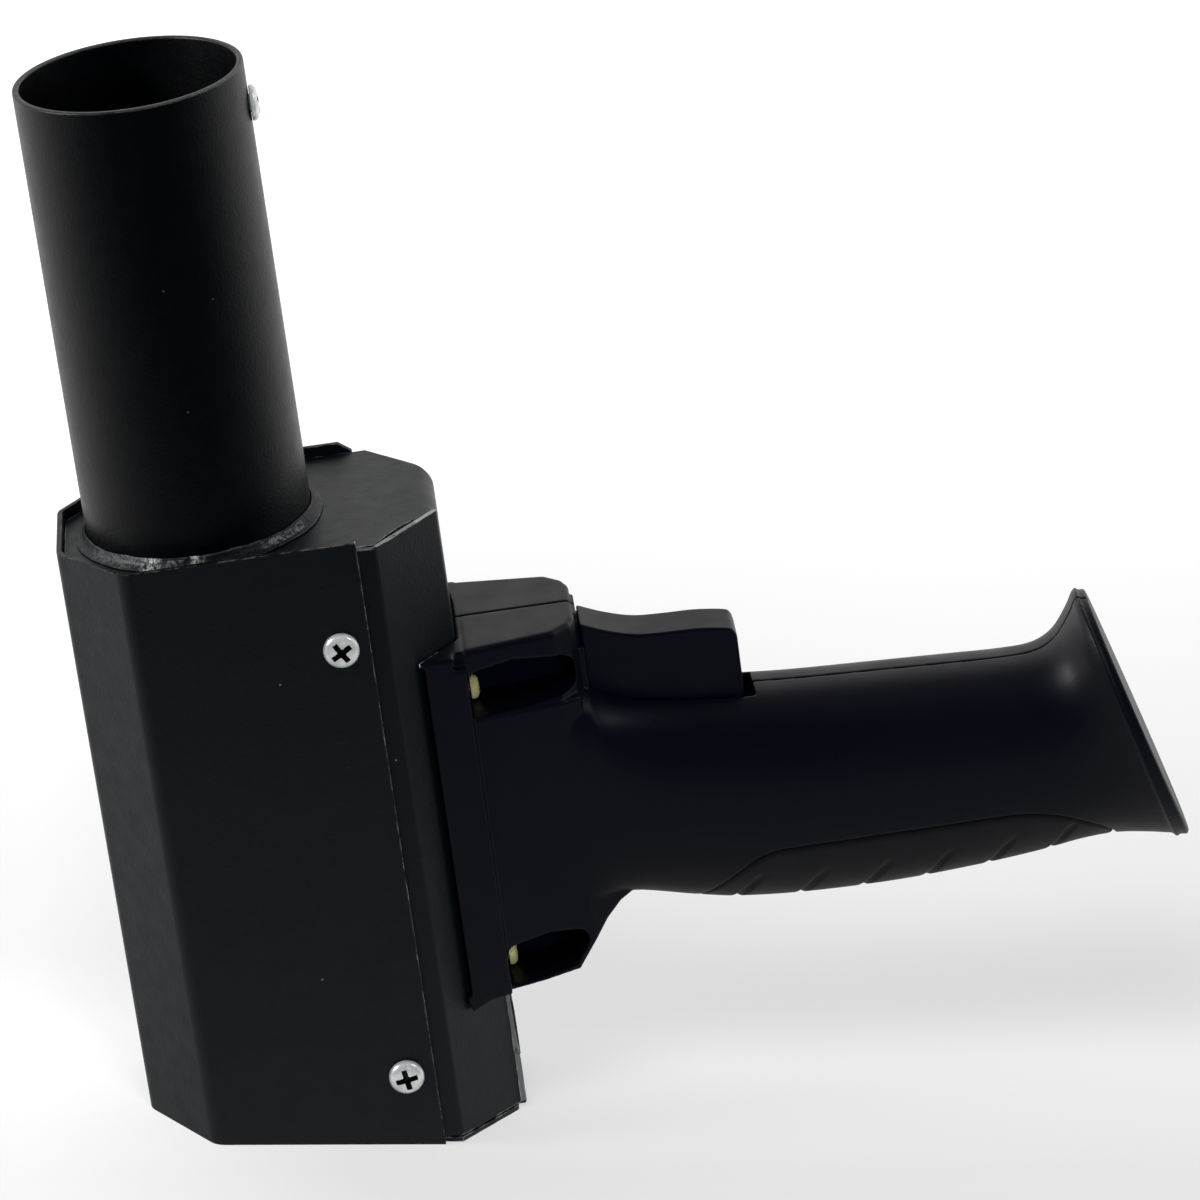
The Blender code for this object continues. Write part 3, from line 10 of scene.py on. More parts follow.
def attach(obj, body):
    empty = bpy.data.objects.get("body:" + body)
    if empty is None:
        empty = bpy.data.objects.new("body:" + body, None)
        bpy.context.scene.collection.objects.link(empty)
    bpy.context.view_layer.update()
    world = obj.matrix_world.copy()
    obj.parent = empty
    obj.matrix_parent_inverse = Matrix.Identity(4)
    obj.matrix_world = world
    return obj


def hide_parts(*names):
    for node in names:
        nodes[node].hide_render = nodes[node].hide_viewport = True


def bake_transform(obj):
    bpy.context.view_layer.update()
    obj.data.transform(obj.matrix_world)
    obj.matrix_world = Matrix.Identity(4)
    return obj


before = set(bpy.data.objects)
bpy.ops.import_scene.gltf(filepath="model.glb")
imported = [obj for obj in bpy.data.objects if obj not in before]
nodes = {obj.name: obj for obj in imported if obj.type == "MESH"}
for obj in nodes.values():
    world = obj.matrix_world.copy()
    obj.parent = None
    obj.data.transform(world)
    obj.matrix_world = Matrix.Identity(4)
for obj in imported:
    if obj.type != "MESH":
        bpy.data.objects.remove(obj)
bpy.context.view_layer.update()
mm = 0.001
lean = radians(9)
leanMatrix = Matrix.Rotation(-lean, 4, 'Y')  # from the launcher's own upright frame to the row frame
print("frame loaded:", len(nodes), "nodes")


# helpers that several steps share

def addObject(name, data):
    made = bpy.data.objects.new(name, data)
    bpy.context.scene.collection.objects.link(made)
    return made


def clamp(value):
    return max(0.0, min(1.0, value))


# camera

view = {
    "azimuth": radians(-4.89),
    "elevation": radians(22.69),
    "roll": radians(-2.09),
    "distance": 1.400,
    "target": Vector((0.0577, 0, 0.1225)),
    "lens": 185.36,
    "sensor": 36.0,
    "clip": (0.05, 30),
}


def makeCamera():
    data = bpy.data.cameras.new("photoCamera")
    data.lens, data.sensor_width = view["lens"], view["sensor"]
    data.clip_start, data.clip_end = view["clip"]
    camera = addObject("photoCamera", data)
    azimuth, elevation, roll = view["azimuth"], view["elevation"], view["roll"]
    back = Vector((sin(azimuth) * cos(elevation), -cos(azimuth) * cos(elevation), sin(elevation)))
    right = Vector((cos(azimuth), sin(azimuth), 0))
    up = back.cross(right)
    tiltedRight = right * cos(roll) - up * sin(roll)
    tiltedUp = right * sin(roll) + up * cos(roll)
    turn = Matrix((tiltedRight, tiltedUp, back)).transposed().to_4x4()
    camera.matrix_world = Matrix.Translation(view["target"] + back * view["distance"]) @ turn
    bpy.context.scene.camera = camera


makeCamera()
print("camera set")


# small helpers for node trees

def feed(tree, socket, value):
    # gives an input its value, or the output that drives it
    if isinstance(value, bpy.types.NodeSocket):
        tree.links.new(value, socket)
    else:
        socket.default_value = (*value, 1) if socket.type == 'RGBA' else value


def addNode(tree, kind, settings=None, **values):
    # the values go to the inputs of the same names, with spaces for the underscores
    node = tree.nodes.new(kind)
    for key, value in (settings or {}).items():
        setattr(node, key, value)
    for key, value in values.items():
        feed(tree, node.inputs[key.replace("_", " ")], value)
    return node


def placeGroup(tree, group, **values):
    return addNode(tree, 'ShaderNodeGroup', {"node_tree": group}, **values).outputs


def objectPlace(tree):
    return addNode(tree, 'ShaderNodeTexCoord').outputs["Object"]


def math(tree, operation, first, second):
    node = addNode(tree, 'ShaderNodeMath', {"operation": operation})
    for socket, value in zip(node.inputs, (first, second)):
        feed(tree, socket, value)
    return node.outputs[0]


def ramp(tree, source, low, high, fromValue=0.0, toValue=1.0):
    # a clamped straight run from one value to another
    return addNode(tree, 'ShaderNodeMapRange', Value=source, From_Min=low, From_Max=high, To_Min=fromValue,
                   To_Max=toValue).outputs["Result"]


def mixColour(tree, factor, first, second):
    node = addNode(tree, 'ShaderNodeMix', {"data_type": 'RGBA'})
    for slot, value in ((0, factor), (6, first), (7, second)):
        feed(tree, node.inputs[slot], value)
    return node.outputs[2]


# shared effects, each built once: groups of floats

edgeBend = (0.985, 0.90)        # how far the rounded normal leaves the flat one, where a rub starts and is full
edgePatches = (0.45, 0.62)      # the noise that breaks it up


def newGroup(name, outputs, **inputs):
    # the inputs come with their default values
    tree = bpy.data.node_groups.new(name, 'ShaderNodeTree')
    for label, value in inputs.items():
        tree.interface.new_socket(label.replace("_", " "), in_out='INPUT',
                                  socket_type='NodeSocketFloat').default_value = value
    for label in outputs:
        tree.interface.new_socket(label, in_out='OUTPUT', socket_type='NodeSocketFloat')
    return tree, addNode(tree, 'NodeGroupInput').outputs, addNode(tree, 'NodeGroupOutput').inputs


def makeGrainGroup():
    # fine and coarse bumps of a moulded or coated surface
    tree, given, out = newGroup("surfaceGrain", ("Height", "Blotch"), Fine_Scale=900.0, Coarse_Scale=90.0,
                                Coarse_Share=0.3)
    place = objectPlace(tree)
    fine = addNode(tree, 'ShaderNodeTexNoise', Vector=place, Scale=given["Fine Scale"], Detail=3.0, Roughness=0.55)
    coarse = addNode(tree, 'ShaderNodeTexNoise', Vector=place, Scale=given["Coarse Scale"], Detail=2.0, Roughness=0.5)
    share = math(tree, 'MULTIPLY', coarse.outputs["Fac"], given["Coarse Share"])
    feed(tree, out["Height"], math(tree, 'ADD', fine.outputs["Fac"], share))
    feed(tree, out["Blotch"], coarse.outputs["Fac"])
    return tree


def makeDustGroup():
    # a few pale specks, each much smaller than the cell it lies in
    tree, given, out = newGroup("dustSpecks", ("Mask",), Scale=180.0, Size=0.07, Share=0.12)
    cells = addNode(tree, 'ShaderNodeTexVoronoi', Vector=objectPlace(tree), Scale=given["Scale"], Randomness=1.0)
    near = math(tree, 'LESS_THAN', cells.outputs["Distance"], given["Size"])
    draw = addNode(tree, 'ShaderNodeSeparateColor', Color=cells.outputs["Color"]).outputs[0]
    feed(tree, out["Mask"], math(tree, 'MULTIPLY', near, math(tree, 'LESS_THAN', draw, given["Share"])))
    return tree


def makeWearGroup():
    # rubbed edges: where the rounded normal leaves the flat one, broken up by noise
    tree, given, out = newGroup("edgeRub", ("Mask",), Radius=0.0004, Noise_Scale=260.0, Spread=0.0, Amount=0.5)
    bevel = addNode(tree, 'ShaderNodeBevel', {"samples": 4}, Radius=given["Radius"])
    product = addNode(tree, 'ShaderNodeVectorMath', {"operation": 'DOT_PRODUCT'})
    for socket, normal in zip(product.inputs, (bevel.outputs[0],
                                               addNode(tree, 'ShaderNodeNewGeometry').outputs["Normal"])):
        feed(tree, socket, normal)
    noise = addNode(tree, 'ShaderNodeTexNoise', Vector=objectPlace(tree), Scale=given["Noise Scale"], Detail=4.0,
                    Roughness=0.6)
    edge = ramp(tree, product.outputs["Value"], *edgeBend)
    patchy = ramp(tree, math(tree, 'ADD', noise.outputs["Fac"], given["Spread"]), *edgePatches)
    rub = math(tree, 'MULTIPLY', edge, patchy)
    feed(tree, out["Mask"], math(tree, 'MULTIPLY', rub, given["Amount"]))
    return tree


grainGroup = makeGrainGroup()
dustGroup = makeDustGroup()
wearGroup = makeWearGroup()


# materials

blotches = (0.3, 0.7)           # the span of the coarse noise that a finish changes over
scuffSpan = 0.12
coatLook = {
    "ior": 1.5,
    "specular": 0.33,
    "base": (0.0008, 0.0025, 0.0040),
    "worn": (0.40, 0.41, 0.41),
    # pale colour of bare metal, which also paints the highlights on the weld and on the wall's strips
    "bare": (0.42, 0.43, 0.43),
    "dust": (0.09, 0.095, 0.095),
    "dustScale": 190.0,
    "dustSize": 0.05,
    "dustShare": 0.14,
    "roughLow": 0.42,
    "roughHigh": 0.52,
    "fineScale": 1500.0,
    "coarseScale": 240.0,
    "coarseShare": 0.45,
    "bump": 0.62,
    "bumpDepth": 0.00012,
    "rubRadius": 0.0005,
    "rubAmount": 0.45,
    "rubSpread": 0.0,
    "scuffLow": 0.40,
}
plasticLook = {
    "ior": 1.49,
    "specular": 0.22,
    "base": (0.0012, 0.0016, 0.0045),
    "bare": (0.34, 0.35, 0.35),
    "dust": (0.07, 0.07, 0.075),
    "dustScale": 130.0,
    "dustSize": 0.035,
    "dustShare": 0.07,
    "roughLow": 0.40,
    "roughHigh": 0.48,
    "fineScale": 2200.0,
    "coarseScale": 130.0,
    "coarseShare": 0.4,
    "bump": 0.10,
    "bumpDepth": 0.00008,
    "scuffLow": 0.34,
}
metalLook = {
    "fineScale": 3500.0,
    "coarseScale": 420.0,
    "coarseShare": 0.6,
    "tintSpan": (0.35, 0.65),
    # painted shade: the colour of the faces inside a screw's cross recess
    "recess": (0.006, 0.006, 0.007),
    "bump": 0.12,
    "bumpDepth": 0.00006,
}
batteryLook = {
    "fineScale": 800.0,
    "coarseScale": 60.0,
    "coarseShare": 1.0,
    "dark": (0.026, 0.045, 0.115),
    "light": (0.034, 0.056, 0.135),
    "bump": 0.05,
    "bumpDepth": 0.0001,
}


def newMaterial(name, look, **values):
    # a Principled material with the look's bumps; it also gives the coarse noise, for what changes over the surface
    material = bpy.data.materials.new(name)
    material.use_nodes = True
    tree = material.node_tree
    shader = tree.nodes["Principled BSDF"].inputs
    for key, value in values.items():
        feed(tree, shader[key.replace("_", " ")], value)
    grain = placeGroup(tree, grainGroup, Fine_Scale=look["fineScale"], Coarse_Scale=look["coarseScale"],
                       Coarse_Share=look["coarseShare"])
    bump = addNode(tree, 'ShaderNodeBump', Height=grain["Height"], Strength=look["bump"], Distance=look["bumpDepth"])
    feed(tree, shader["Normal"], bump.outputs["Normal"])
    return material, tree, shader, grain["Blotch"]


def faceMark(tree, name):
    return addNode(tree, 'ShaderNodeAttribute', {"attribute_name": name}).outputs["Fac"]


def makeFinish(name, basis, **changes):
    # a coat or a plastic: a few specks, rubbed edges, and pale spots on the faces that a mesh marks, which are bare
    # spots and, on some pieces, a painted highlight
    look = {**basis, **changes}
    material, tree, shader, blotch = newMaterial(name, look, IOR=look["ior"], Specular_IOR_Level=look["specular"])
    dust = placeGroup(tree, dustGroup, Scale=look["dustScale"], Size=look["dustSize"], Share=look["dustShare"])
    colour = mixColour(tree, dust["Mask"], look["base"], look["dust"])
    if "rubAmount" in look:
        rub = placeGroup(tree, wearGroup, Radius=look["rubRadius"], Spread=look["rubSpread"],
                         Amount=look["rubAmount"])
        colour = mixColour(tree, rub["Mask"], colour, look["worn"])
    specks = ramp(tree, blotch, look["scuffLow"], look["scuffLow"] + scuffSpan)
    colour = mixColour(tree, math(tree, 'MULTIPLY', faceMark(tree, "bare"), specks), colour, look["bare"])
    feed(tree, shader["Base Color"], colour)
    feed(tree, shader["Roughness"], ramp(tree, blotch, *blotches, look["roughLow"], look["roughHigh"]))
    return material


def makeMetal(name, base, tint, rough, metal):
    # the faces in the cross recess are painted nearly black: painted shade for the recess
    material, tree, shader, blotch = newMaterial(name, metalLook, Metallic=metal)
    colour = mixColour(tree, ramp(tree, blotch, *metalLook["tintSpan"]), base, tint)
    feed(tree, shader["Base Color"], mixColour(tree, faceMark(tree, "recess"), colour, metalLook["recess"]))
    feed(tree, shader["Roughness"], ramp(tree, blotch, *blotches, *rough))
    return material


def makeBatteryJacket():
    # a printed jacket left plain
    look = batteryLook
    material, tree, shader, blotch = newMaterial("batteryJacket", look, Roughness=0.32, Metallic=0.0, Coat_Weight=0.4)
    feed(tree, shader["Base Color"], mixColour(tree, ramp(tree, blotch, *blotches), look["dark"], look["light"]))
    return material


powderCoat = makeFinish("satinPowderCoat", coatLook)
chassisCoat = makeFinish("chassisPowderCoat", coatLook, roughLow=0.43, roughHigh=0.49, coarseShare=0.25,
                         rubAmount=0.85, rubSpread=0.03, scuffLow=0.28)
tubeCoat = makeFinish("tubePowderCoat", coatLook, base=(0.0002, 0.0006, 0.0013), dust=(0.035, 0.037, 0.037),
                      specular=0.28, roughLow=0.36, roughHigh=0.42, rubAmount=0.9, rubSpread=0.14)
# its pale colour paints both the weld's bare burrs and a painted highlight along the fillet
weldCoat = makeFinish("weldPowderCoat", coatLook, coarseScale=900.0, bare=(0.58, 0.59, 0.59), scuffLow=0.42,
                      rubAmount=0.1)
handlePlastic = makeFinish("handlePlastic", plasticLook)
triggerPlastic = makeFinish("triggerPlastic", plasticLook, specular=0.20, roughLow=0.38, roughHigh=0.46, bump=0.06)
padRubber = makeFinish("padRubber", plasticLook, base=(0.0045, 0.0048, 0.0060), roughLow=0.46, roughHigh=0.56,
                       bump=0.16)
switchPlastic = makeFinish("switchPlastic", plasticLook, base=(0.014, 0.014, 0.015), dustShare=0.0)
buttonPlastic = makeFinish("buttonPlastic", plasticLook, base=(0.30, 0.016, 0.014), dustShare=0.0)
nylonWhite = makeFinish("terminalNylon", plasticLook, base=(0.60, 0.585, 0.53), dust=(0.4, 0.39, 0.36))
leadJacket = makeFinish("leadJacket", plasticLook, base=(0.016, 0.016, 0.018), bump=0.2)
grommetRubber = makeFinish("grommetRubber", plasticLook, base=(0.010, 0.010, 0.010), roughLow=0.62, roughHigh=0.74)
laminate = makeFinish("paperLaminate", plasticLook, base=(0.19, 0.085, 0.032), dust=(0.12, 0.05, 0.02),
                      fineScale=900.0, roughLow=0.40, roughHigh=0.55, dustShare=0.4)
# plated heads are a little chalky, so they aren't full metal
brightZinc = makeMetal("brightZinc", (0.86, 0.90, 0.89), (0.66, 0.69, 0.69), (0.22, 0.34), 0.52)
yellowZinc = makeMetal("yellowZinc", (0.86, 0.85, 0.42), (0.62, 0.60, 0.30), (0.24, 0.36), 0.45)
springSteel = makeMetal("springSteel", (0.42, 0.42, 0.43), (0.30, 0.30, 0.31), (0.28, 0.42), 1.0)
turnedBrass = makeMetal("turnedBrass", (0.66, 0.48, 0.20), (0.50, 0.34, 0.14), (0.22, 0.36), 1.0)
batteryJacket = makeBatteryJacket()

screwNodes = [name for name in nodes if name.startswith(("cover_screw", "grip_screw"))]
nodeFinishes = (
    (powderCoat, ("chassis", "cover", "barrel_tube", "barrel_weld")),
    (handlePlastic, ("grip_shell_front", "grip_shell_back")),
    (triggerPlastic, ("trigger",)),
    (padRubber, ("palm_pad",)),
    (brightZinc, ("backing_plate", "retaining_screw", *screwNodes)),
    (yellowZinc, [name for name in nodes if name.startswith("flange_screw")]),
    (springSteel, ("breech_ring", "trigger_pivot", "trigger_spring", "switch_lever", "battery_clip")),
    (turnedBrass, ("contact_stud_left", "contact_stud_right", "contact_nut_left", "contact_nut_right")),
    (laminate, ("breech_insulator",)),
    (nylonWhite, ("terminal_block",)),
    (switchPlastic, ("switch_body",)),
    (buttonPlastic, ("switch_button",)),
    (batteryJacket, ("battery",)),
    (leadJacket, ("battery_snap", "switch_lead", "breech_lead", "battery_lead")),
    (grommetRubber, ("wire_grommet",)),
)
for finish, names in nodeFinishes:
    for name in names:
        nodes[name].data.materials.clear()
        nodes[name].data.materials.append(finish)
print("materials made:", len(bpy.data.materials))


# mesh helpers: pieces are made in the launcher's own upright frame, and leaned when they are finished

def partFrom(name, bm):
    bmesh.ops.remove_doubles(bm, verts=bm.verts, dist=1e-7)
    bmesh.ops.recalc_face_normals(bm, faces=bm.faces)
    return partAsIs(name, bm)


def partAsIs(name, bm):
    mesh = bpy.data.meshes.new(name)
    bm.to_mesh(mesh)
    bm.free()
    return addObject(name, mesh)


def skinRings(rings, closed=False):
    # quads between each ring and the next, with a face on both ends unless the rings close up
    bm = bmesh.new()
    loops = [[bm.verts.new(point) for point in ring] for ring in rings]
    following = loops[1:] + loops[:1] if closed else loops[1:]
    for ring, after in zip(loops, following):
        for index in range(len(ring)):
            turn = (index + 1) % len(ring)
            bm.faces.new((ring[index], ring[turn], after[turn], after[index]))
    if not closed:
        bm.faces.new(loops[0])
        bm.faces.new(loops[-1])
    return bm


def upright(name, outline, bottom, top):
    return partFrom(name, skinRings([[(x, y, z) for x, y in outline] for z in (bottom, top)]))


def sideways(name, outline, lowY, highY):
    return partFrom(name, skinRings([[(x, y, z) for x, z in outline] for y in (lowY, highY)]))


def block(name, low, high):
    outline = ((low[0], low[1]), (high[0], low[1]), (high[0], high[1]), (low[0], high[1]))
    return upright(name, outline, low[2], high[2])


def turned(name, profile, segments, closed=True):
    # a profile of (radius, height) turned about Z; a closed one makes a ring, an open one starts and ends on the axis
    angles = [2 * pi * index / segments for index in range(segments)]
    if closed:
        rings = [[(r * cos(a), r * sin(a), z) for r, z in profile] for a in angles]
    else:
        rings = [[(r * cos(a), r * sin(a), z) for a in angles] for r, z in profile]
    return partFrom(name, skinRings(rings, closed))


along = {"X": Matrix.Rotation(pi / 2, 4, 'Y'), "Y": Matrix.Rotation(-pi / 2, 4, 'X'),
         "-Y": Matrix.Rotation(pi / 2, 4, 'X'), "Z": Matrix.Identity(4)}
sideAxis = {1: "Y", -1: "-Y"}


def put(part, place, axis="Z"):
    part.data.transform(Matrix.Translation(Vector(place)) @ along[axis])
    return part


def pin(name, radius, length, place, axis="Z", segments=32):
    return put(turned(name, [(radius, 0), (radius, length)], segments, closed=False), place, axis)


def settle(part):
    # turns the part's modifiers into its mesh
    bpy.context.view_layer.update()
    shaped = part.evaluated_get(bpy.context.evaluated_depsgraph_get())
    plain = part.data
    mesh = bpy.data.meshes.new_from_object(shaped)
    part.modifiers.clear()
    part.data = mesh
    bpy.data.meshes.remove(plain)


def combine(part, tools, operation):
    for tool in tools:
        step = part.modifiers.new("combine", 'BOOLEAN')
        step.operation, step.solver, step.object = operation, 'EXACT', tool
    settle(part)
    for tool in tools:
        bpy.data.objects.remove(tool)


def carve(part, *tools):
    combine(part, tools, 'DIFFERENCE')


def join(part, *tools):
    combine(part, tools, 'UNION')


def roundEdges(part, width, segments, angle):
    step = part.modifiers.new("rounding", 'BEVEL')
    step.width, step.segments = width, segments
    step.limit_method, step.angle_limit = 'ANGLE', radians(angle)
    step.use_clamp_overlap = True
    settle(part)


def finishPiece(part, finish, replaced, body="launcher", sharp=35, flat=False, bends=None):
    # bends: two points, not used; a piece given them goes on no body, and its body is not used
    mesh = part.data
    mesh.transform(leanMatrix)
    mesh.materials.clear()
    mesh.materials.append(finish)
    mesh.shade_smooth()
    mesh.set_sharp_from_angle(angle=radians(sharp))
    if flat:
        # large faces keep their own direction, so that only the rounded edges bend the light
        part.modifiers.new("flatFaces", 'WEIGHTED_NORMAL').keep_sharp = True
    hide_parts(*replaced)
    if bends:
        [leanMatrix @ Vector(point) for point in bends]
        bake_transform(part)
    else:
        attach(part, body)


def markFaces(part, name, strengthAt):
    # a number on each face for its material to read; the test gets the face's middle, upright
    marks = part.data.attributes.new(name, 'FLOAT', 'FACE')
    for face in part.data.polygons:
        marks.data[face.index].value = strengthAt(face.center)


def rounded(corners, radii, steps):
    # an open path through the corners, with each inner corner rounded
    if not isinstance(radii, tuple):
        radii = (radii,) * (len(corners) - 2)
    path = [Vector(corners[0])]
    for before, corner, after, radius in zip(corners, corners[1:], corners[2:], radii):
        corner = Vector(corner)
        back, ahead = (Vector(before) - corner).normalized(), (Vector(after) - corner).normalized()
        halfAngle = back.angle(ahead) / 2
        centre = corner + (back + ahead).normalized() * radius / sin(halfAngle)
        reach = radius / tan(halfAngle)
        first, last = ((corner + side * reach - centre).normalized() for side in (back, ahead))
        path += [centre + first.slerp(last, step / steps).normalized() * radius for step in range(steps + 1)]
    return path + [Vector(corners[-1])]


def quarterTurn(steps):
    return [pi / 2 * step / steps for step in range(steps + 1)]


def heightAt(path, x, outside):
    # along a path that runs towards +X
    for near, far in zip(path, path[1:]):
        if near.x <= x <= far.x and far.x > near.x:
            return near.y + (far.y - near.y) * (x - near.x) / (far.x - near.x)
    return outside


def insetCorners(corners, distance):
    # a closed outline, anticlockwise, with each side moved inwards
    moved = []
    for index, corner in enumerate(corners):
        corner, before, after = (Vector(corners[(index + k) % len(corners)]) for k in (0, -1, 1))
        lineIn, lineOut = (corner - before).normalized(), (after - corner).normalized()
        normalIn, normalOut = Vector((-lineIn.y, lineIn.x)), Vector((-lineOut.y, lineOut.x))
        middle = (normalIn + normalOut).normalized()
        moved.append(tuple(corner + middle * distance / middle.dot(normalIn)))
    return moved


def mirrored(halfPlan):
    return [(x, -y) for x, y in halfPlan] + [(x, y) for x, y in reversed(halfPlan)]


def shifted(outline, x, z):
    return tuple((x + stepX, z + stepZ) for stepX, stepZ in outline)


def floorZ(x):
    return -x * tan(lean)


# sizes that the pieces share, the same as in the CAD source

def inMetres(value):
    # from millimetres, in nested tuples too
    return tuple(inMetres(part) for part in value) if isinstance(value, tuple) else value * mm


def sizes(**lengths):
    return {name: inMetres(value) for name, value in lengths.items()}


fitGap, sheet = 0.3 * mm, 1.2 * mm
handleLow = 27.3 * mm           # the flange's lower edge
box = {
    **sizes(wallX=42.5, sideY=31.0, chamferX=14.5, chamferY=18.5, coverTop=147.0, plateTop=144.5),
    **sizes(bend=1.75, coverBend=4.0, foldRadius=4.0, foldHalf=11.0, relief=0.8, slit=0.4, edgeRound=0.22),
    **sizes(seamFront=24.0, seamBack=22.0, flangeLap=14.5, tongueGap=1.0, frontDrop=0.1),
    # the cover's rim slants down at the end of its back tab
    **sizes(tabRun=3.0, tabDrop=2.2),
    # the gap between the plate's edge and the front chamfer, across it
    **sizes(gapEnds=0.35, gapMiddle=1.5),
    "gapSlant": 0.787,          # the share of it that runs along Y
    "plateSteps": 10,
    "bendSteps": 9,
    "wallBendSteps": 6,
    "edgeSteps": (2, 40),       # and the sharpest angle left alone, in degrees
    "columns": (0.05, 0.10, 0.15, 0.20, 0.25, 0.32),    # shares of the chamfer, where its top edge is rubbed
    "backSlack": 1.15,          # how many sheets the back chamfer stays under the plate
    # two narrow strips stand out on the wall below the handle: height and distance, then where they are
    **sizes(edgeLine=((-5.6, 0.7), (-5.0, 1.1), (5.0, 1.1), (14.0, 0.75), (25.9, 0.5)),
            edgeLineY=12.0, edgeLineHalf=0.65, edgeLineDepth=1.1),
    **sizes(wireHole=(4.2, 64.0), coverScrew=(17.4, 24.7, 18.1)),
    # rubbed: the chamfer's top edge (depth, first x, y range, run, distance from the edge) and the seam; a painted
    # highlight on the strips
    **sizes(rubDepth=0.45, rubX=30.5, rubY=(-28.0, -9.0), rubRun=9.0, rubNear=(-0.4, 2.6), stripRub=0.2,
            seamRub=0.25, seamTop=4.0),
    "rubStart": 0.25,
    # how strongly the strips get their painted highlight
    "stripHighlight": 0.30,
    "seamStrength": (0.9, 0.12),    # at its top, and below
}
liner = sheet + fitGap
wallX, sideY = box["wallX"], box["sideY"]
chamferEndX, chamferEndY = wallX - box["chamferX"], sideY - box["chamferY"]
tubeX, tubeRadius = -10.5 * mm, 25.4 * mm
octagon = ((-chamferEndX, -sideY), (chamferEndX, -sideY), (wallX, -chamferEndY), (wallX, chamferEndY),
           (chamferEndX, sideY), (-chamferEndX, sideY), (-wallX, chamferEndY), (-wallX, -chamferEndY))
chassisCorners = ((chamferEndX, liner - sideY), (wallX, -chamferEndY), (wallX, chamferEndY),
                  (chamferEndX, sideY - liner))
screwSizes = {
    # head radius, head height, shank radius, length, width and reach of the cross
    **sizes(cover=(4.05, 2.4, 2.0, 8.5, 1.25, 2.5), retainer=(4.0, 1.8, 2.0, 7.8, 1.15, 2.5),
            flange=(2.8, 2.1, 1.5, 7.0, 0.8, 1.7), grip=(2.7, 1.9, 1.4, 16.0, 0.8, 1.7)),
}
coverScrewX, screwDrop, screwLift = box["coverScrew"]
pocketX = 44.0 * mm
upperPocketZ, lowerPocketZ = 96.1 * mm, 28.5 * mm
flangeScrewY = 9.0 * mm
sideNames = (("front", -1), ("back", 1))
coverScrewPlaces = [(f"{sideName}_{levelName}", side, z) for sideName, side in sideNames
                    for levelName, z in (("upper", box["coverTop"] - screwDrop),
                                         ("lower", floorZ(coverScrewX) + screwLift))]
flangeScrewPlaces = [(f"{sideName}_{levelName}", side * flangeScrewY, floor + screwSizes["flange"][0] + fitGap)
                     for sideName, side in sideNames
                     for levelName, floor in (("upper", upperPocketZ), ("lower", lowerPocketZ))]


# box: chassis and cover

def sheetPart(name, bm, outward):
    # gives an open surface the sheet's thickness, on its inner side
    bmesh.ops.remove_doubles(bm, verts=bm.verts, dist=1e-6)
    bmesh.ops.recalc_face_normals(bm, faces=bm.faces)
    farthest = max(bm.faces, key=lambda face: face.calc_center_median().dot(outward))
    if farthest.normal.dot(outward) < 0:
        bmesh.ops.reverse_faces(bm, faces=bm.faces)
    part = partAsIs(name, bm)
    step = part.modifiers.new("thickness", 'SOLIDIFY')
    step.thickness, step.offset, step.use_even_offset = sheet, -1, True
    settle(part)
    return part


def addFace(bm, *points):
    bm.faces.new([bm.verts.new(point) for point in points])


def coverHoles():
    return [pin("hole", screwSizes["cover"][2] + fitGap, 6 * sheet, (coverScrewX, side * (sideY - 4 * sheet), z),
                sideAxis[side], 40) for _, side, z in coverScrewPlaces]


def flangeHoles(lowX, length):
    return [pin("hole", screwSizes["flange"][2] + fitGap, length, (lowX, y, z), "X")
            for _, y, z in flangeScrewPlaces]


def chamferReach(x):
    # half the chassis's width at x, where its chamfers cut it
    corner, end = chassisCorners[2:]
    return end[1] + (corner[1] - end[1]) * clamp((x - end[0]) / (corner[0] - end[0]))


def gapAt(x, foldX):
    # the gap between the top plate and the front chamfer, widest in the middle
    share = clamp((x - chamferEndX) / (foldX - chamferEndX))
    return (sheet + box["gapEnds"] + (box["gapMiddle"] - box["gapEnds"]) * sin(pi * share)) / box["gapSlant"]


def topPlateOutline(foldX):
    steps, rear = box["plateSteps"], insetCorners(octagon, liner)[5:7]
    xs = [foldX + (chamferEndX - foldX) * step / steps for step in range(steps + 1)]
    front = [(x, -chamferReach(x) + gapAt(x, foldX)) for x in xs] + [(x, -y) for x, y in rear]
    back = [(foldX, chamferReach(foldX)), chassisCorners[3], *rear]
    return front + back[::-1]


def bottomPlateOutline(foldX):
    tongueX, half = wallX - box["tongueGap"], box["foldHalf"]
    return mirrored([(foldX, half), (foldX, half + box["relief"]), (tongueX, half + box["relief"]),
                     (tongueX, chamferReach(tongueX)), chassisCorners[3], *insetCorners(octagon, liner)[5:7]])


